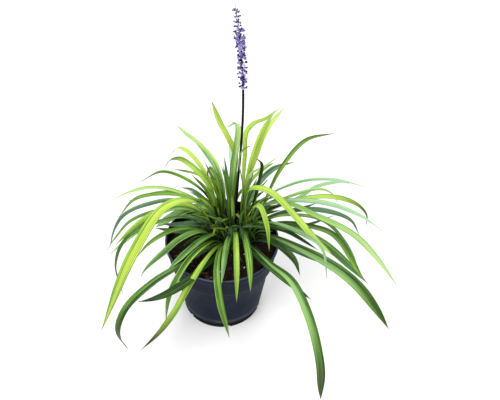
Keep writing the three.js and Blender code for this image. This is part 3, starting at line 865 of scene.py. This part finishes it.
def build_compost(settings):
    shape = Shape(compost_stuff="FLOAT")
    outer = compost_radius()
    sides, steps = settings.compost_sides, settings.compost_rings
    rings = [[on_compost(p.x, p.y) for p in level_ring(outer * i / steps, 0, sides)]
             for i in range(1, steps + 1)]
    for radius, height in (
        (BAND_FOOT_RADIUS - WALL - 2 * GAP, STEP_HEIGHT + WALL + 2 * GAP),
        (SHOULDER_RADIUS - WALL - 2 * GAP, STEP_HEIGHT),
        (BODY_FOOT_RADIUS - WALL - EDGE - 2 * GAP, FLOOR + WELL_RISE + GAP),
        (FOOT_RADIUS - 2 * WALL - GAP, FLOOR + GAP),
    ):
        rings.append(level_ring(radius, height, sides))
    points, faces = fanned(rings, on_compost(0, 0), (0, 0, FLOOR + GAP))
    stuff = [0.16 + 0.12 * noise.noise(Vector((p.x * 0.13, p.y * 0.13, 1.0))) for p in points]
    shape.add(points, [face[::-1] for face in faces], compost_stuff=stuff)
    lay_chips(shape, outer)
    scatter_crumbs(shape, settings, outer)
    shape.make("bark_compost", compost_finish(), "compost")


def lay_chips(shape, outer):
    """The bark chips that stand out of the surface, clear of the shoots."""
    draw, draw_shape = random_from(SEEDS["chip_places"]), random_from(SEEDS["chip_shapes"])
    for _ in range(CHIP_COUNT):
        angle = 2 * math.pi * draw()
        x, y, _ = level_way(angle) * (mix(0.45, 0.86, math.sqrt(draw())) * outer)
        size = mix(*CHIP_SIZE, draw())
        tilt, turn = mix(-0.4, 0.4, draw()), math.pi * draw()
        if math.hypot(x - CROWN[0], y - CROWN[1]) > CLEAR_OF_CROWN:
            chip, faces = rough_chip((size * 1.6, size, size * 0.7), draw_shape)
            where = Vector((x, y, surface_height(x, y) + CHIP_SINK))
            shape.add(placed(chip, turn, tilt, where), faces,
                      compost_stuff=mix(*CHIP_STUFF, draw_shape()))


def scatter_crumbs(shape, settings, outer):
    """Crumbs, small chips, fibres and perlite grains over the compost."""
    draw = random_from(SEEDS["crumbs"])

    def spot():
        angle = 2 * math.pi * draw()
        return level_way(angle) * (outer * LOOSE_REACH * math.sqrt(draw()))

    def perlite(x, y, size, detail):
        grain, faces = lump((size, size * 0.8, size * 0.7), 0.35, draw, detail)
        return placed(grain, 6 * draw(), draw(), on_compost(x, y, size * 0.3)), faces

    for _ in range(settings.crumb_count):
        x, y, _ = spot()
        size = mix(*CRUMB_SIZE, draw() ** 2)
        grain, faces = lump((size, size * mix(0.6, 1, draw()), size * mix(0.5, 0.9, draw())),
                            0.5, draw)
        shape.add(placed(grain, 6 * draw(), draw(), on_compost(x, y, size * 0.25)), faces,
                  compost_stuff=mix(*CRUMB_STUFF, draw() ** 1.5))
    for _ in range(settings.small_chip_count):
        x, y, _ = spot()
        long = mix(*SMALL_CHIP_LENGTH, draw() ** 1.6)
        wide = long * mix(0.2, 0.45, draw())
        chip, faces = rough_chip((long, wide, max(0.7, wide * 0.4)), draw)
        shape.add(placed(chip, math.pi * draw(), mix(-0.35, 0.35, draw()),
                         on_compost(x, y, 0.4)), faces,
                  compost_stuff=mix(*SMALL_CHIP_STUFF, draw() ** 1.3))
    for _ in range(settings.fibre_count):
        points, faces = fibre(spot(), outer - 1, draw)
        shape.add(points, faces, compost_stuff=mix(*FIBRE_STUFF, draw()))
    for x, y, size in PERLITE:
        shape.add(*perlite(x, y, size, 2), compost_stuff=PERLITE_STUFF)
    for _ in range(settings.perlite_count):
        x, y, _ = spot()
        shape.add(*perlite(x, y, mix(*FINE_PERLITE_SIZE, draw()), 1),
                  compost_stuff=mix(*FINE_PERLITE_STUFF, draw()))


def fibre(spot, outer, draw):
    """A bent fibre that lies on the compost."""
    turn = 2 * math.pi * draw()
    long = mix(*FIBRE_LENGTH, draw())
    bend = mix(-0.6, 0.6, draw())
    count = 7
    middles = []
    for i in range(count):
        share = i / (count - 1) - 0.5
        place = spot + level_way(turn + bend * share * 2) * (long * share)
        if place.length > outer:
            place *= outer / place.length
        middles.append(on_compost(place.x, place.y, 0.5))
    return tube(middles, [mix(*FIBRE_RADIUS, draw())] * count, 5)


# ---------------------------------------------------------------- leaves
class Arch:
    """A smooth curve through points, read by the share of its length."""

    def __init__(self, points):
        ends = [points[0] * 2 - points[1], *points, points[-1] * 2 - points[-2]]
        self.points = []
        for i in range(1, len(ends) - 2):
            p0, p1, p2, p3 = ends[i - 1:i + 3]
            d0, d1, d2 = ((a - b).length ** 0.5 for a, b in ((p1, p0), (p2, p1), (p3, p2)))
            t1 = ((p1 - p0) / d0 - (p2 - p0) / (d0 + d1) + (p2 - p1) / d1) * d1
            t2 = ((p2 - p1) / d1 - (p3 - p1) / (d1 + d2) + (p3 - p2) / d2) * d1
            c2 = p2 * 3 - p1 * 3 - t1 * 2 - t2
            c3 = p1 * 2 - p2 * 2 + t1 + t2
            for k in range(ARCH_STEPS):
                t = k / ARCH_STEPS
                self.points.append(p1 + t1 * t + c2 * t ** 2 + c3 * t ** 3)
        self.points.append(points[-1].copy())
        self.runs = [0.0]
        for a, b in zip(self.points, self.points[1:]):
            self.runs.append(self.runs[-1] + (b - a).length)
        self.length = self.runs[-1]

    def at(self, share):
        run = share * self.length
        low = min(max(bisect_right(self.runs, run) - 1, 0), len(self.runs) - 2)
        part = (run - self.runs[low]) / (self.runs[low + 1] - self.runs[low])
        return self.points[low].lerp(self.points[low + 1], part)

    def along(self, share):
        low, high = max(0.0, share - 0.01), min(1.0, share + 0.01)
        return (self.at(high) - self.at(low)).normalized()


def blade_width(share, full):
    swelling = mix(BASE_WIDTH, 1, smooth(share, 0, 0.6))
    taper = 1 - max(0.0, (share - full) / (1 - full)) ** TAPER
    return max(TIP_WIDTH * (1 - 0.6 * smooth(share, 0.97, 1)), swelling * taper)


def blade_rings(arch, leaf, own, settings):
    """Rings of a channelled blade, and at each point its place across, along and under."""
    steps = max(FEWEST_RINGS, round(arch.length / settings.leaf_step))
    half_count = settings.leaf_across
    azimuth = math.radians(leaf.azimuth)
    outward = level_way(azimuth + math.pi / 2)
    to_light = math.radians(LIGHT_TURN) * math.cos(azimuth)
    top = [(k, False) for k in range(half_count, -half_count, -1)]
    under = [(k, True) for k in range(-half_count, half_count)]
    rings, places = [], []
    for i in range(steps + 1):
        share = i / steps
        middle = arch.at(share)
        ahead = arch.along(share)
        side = (outward - ahead * outward.dot(ahead)).normalized()
        face = ahead.cross(side).normalized()
        twist = settings.leaf_twist * math.sin(5.1 * share + own * 40) - to_light
        twist *= smooth(share, 0.1, 0.5)
        side, face = (side * math.cos(twist) - face * math.sin(twist),
                      face * math.cos(twist) + side * math.sin(twist))
        fold = math.radians(mix(FOLD_ANGLE, FOLD_ANGLE * 0.4, share))
        half = leaf.width / 2 * blade_width(share, leaf.full)
        wave = 0.25 * math.sin(share * arch.length * 0.11 + own * 60) * smooth(share, 0.2, 0.6)
        ring = []
        for k, below in top + under:
            across = k / half_count
            dip = math.sqrt(across * across + 0.02) - math.sqrt(0.02)
            lift = half * (dip * 1.15 - 1) * math.sin(fold) + wave * across * abs(across)
            if below and abs(k) < half_count:
                thick = settings.leaf_thick * (0.42 + 0.58 * (1 - across * across))
                lift -= thick * (1 + 0.5 * math.exp(-(across * 7) ** 2))
            ring.append(middle + side * (half * across * math.cos(fold)) + face * lift)
            places.append((across, share, float(below)))
        rings.append(ring)
    return rings, places


def add_blade(shape, arch, leaf, own, settings):
    rings, places = blade_rings(arch, leaf, own, settings)
    points, faces = loft(rings)
    *look, dusk = LOOKS[leaf.look]
    shape.add(points, faces, leaf_look=tuple(look), leaf_place=places, leaf_dusk=dusk,
              leaf_own=own)


def young_leaves(azimuth, distance, draw):
    """Short leaves among the placed ones of a shoot."""
    leaves = []
    for _ in range(YOUNG_PER_SHOOT):
        turn = mix(-YOUNG_SPREAD, YOUNG_SPREAD, draw())
        reach = mix(*YOUNG_REACH, draw())
        tip = mix(*YOUNG_TIP, draw())
        width = mix(*YOUNG_WIDTH, draw())
        path = [(mix(distance, reach, 0.4), tip * 0.7), (reach, tip)]
        look = YOUNG_LOOKS[int(reach * 7) % len(YOUNG_LOOKS)]
        leaves.append(Leaf(azimuth + turn, width, look, path))
    return leaves


def add_sprouts(shape, azimuth, base, draw, own, settings):
    """Short thin leaves that stand among the others in the middle of the clump."""
    for i in range(settings.sprouts_per_shoot):
        turn = azimuth + mix(-SPROUT_SPREAD, SPROUT_SPREAD, draw())
        long = draw()
        reach = mix(*SPROUT_REACH, long)
        top = mix(*SPROUT_TOP, (long + draw()) / 2)
        aside = level_way(math.radians(turn))
        root = base + aside * mix(0, SHEATH_SPREAD, draw()) + Vector((0, 0, ROOT_RISE))
        path = [root, root + aside * reach * 0.3 + Vector((0, 0, top * 0.66)),
                root + aside * reach + Vector((0, 0, top))]
        look = SPROUT_LOOKS[int(draw() * len(SPROUT_LOOKS))]
        leaf = Leaf(turn, mix(*SPROUT_WIDTH, draw()), look, path)
        add_blade(shape, Arch(path), leaf, (own + i * 0.31) % 1, settings)


def add_sheath(shape, base, own):
    """The overlapping leaf bases of one shoot, standing in the compost."""
    profile = [
        (0, -SHEATH_DEPTH),
        (SHEATH_RADIUS * 0.8, -SHEATH_DEPTH),
        (SHEATH_RADIUS, -SHEATH_DEPTH * 0.5),
        (SHEATH_RADIUS, 0),
        (SHEATH_RADIUS * 0.98, 2),
        (SHEATH_RADIUS * 0.86, 6),
        (SHEATH_RADIUS * 0.7, 11),
        (SHEATH_RADIUS * 0.5, SHEATH_RISE),
        (0, SHEATH_RISE),
    ]
    points, faces = turned(profile, SHEATH_SIDES)
    places = []
    for p in points:
        angle = math.atan2(p.y, p.x)
        ridge = 1 - 0.09 * (0.5 + 0.5 * math.cos(angle * 4 + own * 9))
        p.xy *= ridge
        places.append((math.sin(angle * 3), 0.04, 0.3))
    shape.add([p + base for p in points], faces, leaf_look=(0.45, 0.3, 0.3),
              leaf_place=places, leaf_dusk=0.0, leaf_own=own)


def build_leaves(settings):
    finish = leaf_finish(settings)
    draw = random_from(SEEDS["young_leaves"])
    sprout_draw = random_from(SEEDS["sprouts"])
    for number, (name, (azimuth, distance, rows)) in enumerate(SHOOTS.items()):
        leaves = [Leaf(*row) for row in rows]
        if name != "heart":
            leaves += young_leaves(azimuth, distance, draw)
        leaves.sort(key=lambda leaf: leaf.azimuth)
        shape = Shape(leaf_look="FLOAT_VECTOR", leaf_place="FLOAT_VECTOR", leaf_dusk="FLOAT",
                      leaf_own="FLOAT")
        base = around(azimuth, distance, 0)
        add_sheath(shape, base, number * 0.37)
        fan = level_way(math.radians(azimuth + 90))
        # 13, 7 and 29 share no factor, so neighbouring leaves get unlike numbers.
        for i, leaf in enumerate(leaves):
            offset = mix(-SHEATH_SPREAD, SHEATH_SPREAD, i / (len(leaves) - 1))
            path = [base + fan * offset + Vector((0, 0, ROOT_RISE))]
            for reach, height, *turn in leaf.path:
                path.append(around(leaf.azimuth + sum(turn), reach, height))
            add_blade(shape, Arch(path), leaf, (number * 13 + i * 7) % 29 / 29, settings)
        add_sprouts(shape, azimuth, base, sprout_draw, number * 0.37, settings)
        shape.make("blades_" + name, finish, "leaves_" + name)


# ---------------------------------------------------------------- flower
def stem_point(height):
    share = max(0.0, height / SPIKE_TOP)
    sway = LEAN_RIGHT * math.sin(math.pi * share ** 1.55) - LEAN_BACK * share
    return Vector((STEM_FOOT[0] + sway, STEM_FOOT[1], SOIL_TOP + height))


def build_stem(settings):
    shape = Shape()
    shares = [i / STEM_STEPS for i in range(STEM_STEPS + 1)]
    middles = [stem_point(mix(1 - SHEATH_DEPTH, STEM_TOP, share)) for share in shares]
    radii = [STEM_RADIUS * (1.2 - 0.1 * share) for share in shares]
    shape.add(*tube(middles, radii, STEM_SIDES))
    shape.make("flower_scape", stem_finish(settings), "flower_stem")


def petal(length, width, curl, open_angle, turn):
    """One petal: a small dished strip that opens outwards from a floret's foot."""
    points, faces = [], []
    rows = 4
    for i in range(rows + 1):
        share = i / rows
        out = math.sin(open_angle) * length * share + curl * length * share ** 2
        up = math.cos(open_angle) * length * share - curl * length * share ** 2 * 0.4
        half = width / 2 * math.sin(math.pi * mix(0.2, 0.93, share))
        for k in (-1, 0, 1):
            dish = 0.22 * width * (1 - abs(k)) * (1 - share * 0.5)
            points.append(Vector((out - dish * 0.7, k * half, up - dish * 0.2)))
    under = len(points)
    points += [p + Vector((-0.22, 0, -0.14)) for p in points]
    for i in range(rows):
        for k in range(2):
            a = i * 3 + k
            faces.append((a, a + 1, a + 4, a + 3))
            faces.append((under + a + 3, under + a + 4, under + a + 1, under + a))
    edge = [0, 3, 6, 9, 12, 13, 14, 11, 8, 5, 2, 1]
    for a, b in zip(edge, edge[1:] + edge[:1]):
        faces.append((a, b, under + b, under + a))
    spin = Matrix.Rotation(turn, 3, "Z")
    return [spin @ p for p in points], faces


def pointing(points, foot, direction):
    """Points made along Z, moved so that Z points in a direction from a foot."""
    turn = direction.to_track_quat("Z", "Y").to_matrix()
    return [turn @ p + foot for p in points]


def add_bud(shape, foot, direction, length, radius, tone, ripeness, own):
    """A closed bud."""
    profile = [(0, 0), (radius * 0.45, length * 0.04), (radius * 0.85, length * 0.25),
               (radius, length * 0.5), (radius * 0.75, length * 0.78),
               (radius * 0.3, length * 0.96), (0, length)]
    points, faces = turned(profile, 8)
    looks = [(tone + 0.3 * (p.z / length - 0.4), ripeness, own) for p in points]
    shape.add(pointing(points, foot, direction), faces, floret_look=looks)


def add_floret(shape, foot, direction, size, tone, own):
    """An open floret: petals round a pale middle."""
    for k in range(PETALS):
        inner = k % 2
        points, faces = petal(size, size * 0.62, 0.12 + 0.1 * inner, 0.62 + 0.2 * inner,
                              2 * math.pi / PETALS * k + own * 3)
        looks = [(tone + 0.25 * (p.length / size - 0.4) + 0.1 * inner, 0.0, own)
                 for p in points]
        shape.add(pointing(points, foot, direction), faces, floret_look=looks)
    add_bud(shape, foot, direction, size * 0.7, size * 0.16, 0.95, 0.25, own)


def add_core(shape):
    """The stem inside the spike, dark below and pale at the top."""
    shares = [i / SPIKE_STEPS for i in range(SPIKE_STEPS + 1)]
    middles = [stem_point(mix(STEM_TOP + GAP, SPIKE_TOP, share)) for share in shares]
    radii = [mix(STEM_RADIUS * 1.1, 0.4, share ** 0.8) for share in shares]
    points, faces = tube(middles, radii, SPIKE_SIDES)
    looks = [(mix(0.02, 0.85, smooth(share, 0.4, 0.75)), 0.0, 0.5)
             for share in shares for _ in range(SPIKE_SIDES)]
    shape.add(points, faces, floret_look=looks)


def build_spike(settings):
    shape = Shape(floret_look="FLOAT_VECTOR")
    add_core(shape)
    draw, draw_extra = random_from(SEEDS["whorls"]), random_from(SEEDS["florets"])
    length = SPIKE_TOP - STEM_TOP
    rise = WHORL_PITCH
    while rise < length - BARE_TIP:
        share = rise / length
        full = mix(0.6, 1, smooth(share, 0, 0.3)) * (1 - smooth(share, 0.6, 0.85))
        count = 4 if full > 0.5 else 3
        centre = stem_point(STEM_TOP + rise)
        start = draw()
        for k in range(count):
            lift = Vector((0, 0, mix(-1, 1, draw())))
            turn = 2 * math.pi * (start + k / count)
            add_cluster(shape, centre + lift, turn, full, share, draw_extra, settings)
        rise += WHORL_PITCH
    shape.make("floret_spike", floret_finish(), "flower_spike")


def add_cluster(shape, centre, turn, full, share, draw, settings):
    """A floret or bud of one whorl, with the smaller buds that crowd beside it."""
    reach = mix(BUD_REACH, FLORET_REACH, full) * (1 + 0.4 * smooth(share, 0.5, 0.8))
    ripeness = smooth(share, 0.55, 0.85) * 0.6 + smooth(share, 0.82, 1) * 0.5
    beside = settings.buds_per_floret + (0.35 < share < 0.65) if share > 0.16 else 1
    for j in range(beside + 1):
        sway = turn + (mix(-0.8, 0.8, draw()) if j else 0)
        tilt = mix(0.15, 0.6, draw()) + 0.1 * j
        out = level_way(sway) + Vector((0, 0, math.tan(tilt) * 0.8))
        own, pale = draw(), draw()
        lift = Vector((0, 0, mix(-2.8, 2.8, draw()) if j else 0))
        far = reach * (mix(0.4, 1.0, draw()) if j else 1.05)
        size = mix(2.7, 3.3, full) * mix(0.85, 1.15, draw())
        foot = centre + lift + out.normalized() * max(0.9, far - size * 0.85)
        root, tip = centre + lift * 0.3, foot + out.normalized() * 0.4
        stalk, faces = tube([root, root.lerp(tip, 0.5), tip], [STALK_RADIUS] * 3, 5)
        shape.add(stalk, faces, floret_look=(0.08, 0.0, 0.4))
        if full > 0.45 and own > 0.5:
            add_floret(shape, foot, out, size * 1.1, mix(0.35, 0.9, pale), own)
        else:
            add_bud(shape, foot, out, size * 0.95, mix(1.15, 1.3, full),
                    mix(0.1, 0.75, pale), ripeness, own)


# ---------------------------------------------------------------- stage
def add_camera(settings):
    eye = math.radians(settings.camera_height_angle)
    back = Vector((0, -math.cos(eye), math.sin(eye)))
    right = Vector((1, 0, 0))
    up = back.cross(right)
    roll = math.radians(settings.camera_roll)
    x_axis = right * math.cos(roll) + up * math.sin(roll)
    y_axis = up * math.cos(roll) - right * math.sin(roll)
    data = bpy.data.cameras.new("camera")
    data.sensor_width = 36
    data.lens = settings.camera_lens
    data.clip_end = 50
    camera = add_object("camera", data)
    camera.matrix_world = Matrix((x_axis, y_axis, back)).transposed().to_4x4()
    camera.matrix_world.translation = (
        Vector(settings.camera_target) + back * settings.camera_distance)
    bpy.context.scene.camera = camera


def add_floor(settings):
    mesh = bpy.data.meshes.new("floor")
    half = settings.floor_size / 2
    mesh.from_pydata([(-half, -half, 0), (half, -half, 0), (half, half, 0), (-half, half, 0)],
                     [], [(0, 1, 2, 3)])
    finish = Finish("pale_floor", Specular_IOR_Level=0.1)
    finish.paint((*settings.floor_colour, 1.0), 0.9)
    mesh.materials.append(finish.material)
    add_object("floor", mesh)


def add_lamp(name, place, aim_height, size, power):
    """A soft square lamp that shines at a point above the pot's middle."""
    data = bpy.data.lights.new(name, "AREA")
    data.shape = "SQUARE"
    data.size = size
    data.energy = power
    lamp = add_object(name, data)
    lamp.location = place
    aim = Vector((0, 0, aim_height))
    lamp.rotation_euler = (Vector(place) - aim).to_track_quat("Z", "Y").to_euler()


def build_stage(settings):
    scene = bpy.context.scene
    add_camera(settings)
    add_floor(settings)
    add_lamp("key_light", (-0.7, -0.9, 1.7), 0.15, 1.1, settings.key_power)
    add_lamp("fill_light", (1.3, -0.9, 1.2), 0.15, 1.4, settings.fill_power)
    add_lamp("back_light", (0.2, 1.4, 1.5), 0.2, 1.2, settings.back_power)
    world = bpy.data.worlds.new("studio")
    world.use_nodes = True
    sky = world.node_tree.nodes["Background"]
    sky.inputs["Color"].default_value = (*settings.sky_colour, 1.0)
    sky.inputs["Strength"].default_value = settings.sky_strength
    scene.world = world
    scene.view_settings.view_transform = "Standard"


# ---------------------------------------------------------------- settings
def whole(name, description, default, low=0):
    return IntProperty(name=name, description=description, default=default, min=low)


def decimal(name, description, default, **more):
    return FloatProperty(name=name, description=description, default=default, **more)


def tint(name, description, default):
    return FloatVectorProperty(name=name, description=description, default=default[:3],
                               subtype="COLOR", size=3)


class LIRIOPE_PG_pot(bpy.types.PropertyGroup):
    pot_sides: whole("Pot sides", "Facets round the pot", 144, 24)
    plastic: tint("Plastic", "Colour of the pot", colour(20, 27, 42))
    plastic_light: tint("Scuffed plastic", "Colour of the pot where it is rubbed",
                        colour(32, 40, 57))
    plastic_roughness: decimal("Roughness", "How matt the pot is", 0.55, min=0, max=1)


class LIRIOPE_PG_compost(bpy.types.PropertyGroup):
    compost_sides: whole("Divisions round", "Divisions round the compost", 180, 24)
    compost_rings: whole("Rings", "Rings from the middle to the pot", 64, 4)
    crumb_count: whole("Crumbs", "Number of loose crumbs", 1500)
    small_chip_count: whole("Small chips", "Number of small bark chips", 170)
    fibre_count: whole("Fibres", "Number of fibres and straws", 60)
    perlite_count: whole("Fine perlite", "Number of fine perlite grains", 26)


class LIRIOPE_PG_leaves(bpy.types.PropertyGroup):
    leaf_step: decimal("Step", "Length of a division along a leaf, in millimetres", 4.5, min=1)
    leaf_across: whole("Half divisions", "Divisions from the midrib to the edge", 4, 2)
    leaf_thick: decimal("Thickness", "Thickness at the midrib, in millimetres", 0.62, min=0.1)
    sprouts_per_shoot: whole("Sprouts", "Short thin leaves added to each shoot", 8)
    leaf_twist: decimal("Twist", "How far a leaf rolls to either side", 0.16, subtype="ANGLE")
    leaf_roughness: decimal("Roughness", "Roughness of a leaf", 0.36, min=0, max=1)
    vein_depth: decimal("Vein depth", "Depth of the veins", 0.00012, unit="LENGTH",
                        precision=5)


class LIRIOPE_PG_flower(bpy.types.PropertyGroup):
    stem: tint("Stem", "Colour of the stem", colour(14, 10, 18))
    stem_light: tint("Stem streaks", "Colour of the stem's streaks", colour(34, 26, 40))
    buds_per_floret: whole("Buds", "Buds that crowd beside each floret", 2)


class LIRIOPE_PG_stage(bpy.types.PropertyGroup):
    floor_size: decimal("Floor", "Width of the floor", 12, unit="LENGTH")
    floor_colour: tint("Floor colour", "Colour of the floor", (0.9, 0.9, 0.9))
    sky_colour: tint("Sky colour", "Colour of the light from all round", (1.0, 1.0, 1.0))
    sky_strength: decimal("Sky strength", "Light from all round", 0.75)
    key_power: decimal("Key light", "Power of the main light", 26, unit="POWER")
    fill_power: decimal("Fill light", "Power of the fill light", 9, unit="POWER")
    back_power: decimal("Back light", "Power of the back light", 14, unit="POWER")
    camera_height_angle: decimal("Camera elevation", "Degrees above the horizon", 43.08)
    camera_roll: decimal("Camera roll", "Degrees of roll", 2.23)
    camera_distance: decimal("Camera distance", "From the camera to its target", 1.0,
                             unit="LENGTH")
    camera_target: FloatVectorProperty(
        name="Camera target", description="What the camera looks at", size=3,
        subtype="TRANSLATION", unit="LENGTH", default=(0.03931, 0.08546, 0.139))
    camera_lens: decimal("Lens", "Focal length in millimetres", 45.16)


# ---------------------------------------------------------------- operators and panel
class LIRIOPE_OT_pot(bpy.types.Operator):
    """Build the nursery pot"""

    bl_idname = "liriope.pot"
    bl_label = "Nursery pot"

    def execute(self, context):
        build_pot(context.scene.liriope_pot)
        return {"FINISHED"}


class LIRIOPE_OT_compost(bpy.types.Operator):
    """Build the compost with its chips, fibres and grains"""

    bl_idname = "liriope.compost"
    bl_label = "Compost"

    def execute(self, context):
        build_compost(context.scene.liriope_compost)
        return {"FINISHED"}


class LIRIOPE_OT_leaves(bpy.types.Operator):
    """Build the leaves of every shoot"""

    bl_idname = "liriope.leaves"
    bl_label = "Leaves"

    def execute(self, context):
        build_leaves(context.scene.liriope_leaves)
        return {"FINISHED"}


class LIRIOPE_OT_stem(bpy.types.Operator):
    """Build the flower stem"""

    bl_idname = "liriope.stem"
    bl_label = "Flower stem"

    def execute(self, context):
        build_stem(context.scene.liriope_flower)
        return {"FINISHED"}


class LIRIOPE_OT_spike(bpy.types.Operator):
    """Build the spike of florets"""

    bl_idname = "liriope.spike"
    bl_label = "Flower spike"

    def execute(self, context):
        build_spike(context.scene.liriope_flower)
        return {"FINISHED"}


class LIRIOPE_OT_stage(bpy.types.Operator):
    """Set the floor, the lights and the camera"""

    bl_idname = "liriope.stage"
    bl_label = "Stage"

    def execute(self, context):
        build_stage(context.scene.liriope_stage)
        return {"FINISHED"}


class LIRIOPE_PT_panel(bpy.types.Panel):
    bl_label = "Potted liriope"
    bl_idname = "LIRIOPE_PT_panel"
    bl_space_type = "VIEW_3D"
    bl_region_type = "UI"
    bl_category = "Liriope"

    def draw(self, context):
        for name, (group, operators) in GROUPS.items():
            box = self.layout.box()
            for setting in group.__annotations__:
                box.prop(getattr(context.scene, name), setting)
            for operator in operators:
                box.operator(operator.bl_idname)


# The settings as the scene holds them, with the operators that use them.
GROUPS = {
    "liriope_pot": (LIRIOPE_PG_pot, [LIRIOPE_OT_pot]),
    "liriope_compost": (LIRIOPE_PG_compost, [LIRIOPE_OT_compost]),
    "liriope_leaves": (LIRIOPE_PG_leaves, [LIRIOPE_OT_leaves]),
    "liriope_flower": (LIRIOPE_PG_flower, [LIRIOPE_OT_stem, LIRIOPE_OT_spike]),
    "liriope_stage": (LIRIOPE_PG_stage, [LIRIOPE_OT_stage]),
}
CLASSES = [each for group, operators in GROUPS.values() for each in (group, *operators)]
CLASSES.append(LIRIOPE_PT_panel)


def register():
    for each in CLASSES:
        bpy.utils.register_class(each)
    for name, (group, _) in GROUPS.items():
        setattr(bpy.types.Scene, name, PointerProperty(type=group))


def unregister():
    for name in GROUPS:
        delattr(bpy.types.Scene, name)
    for each in reversed(CLASSES):
        bpy.utils.unregister_class(each)


def main():
    register()
    for operator in ("pot", "compost", "leaves", "stem", "spike", "stage"):
        getattr(bpy.ops.liriope, operator)()


if __name__ == "__main__":
    main()
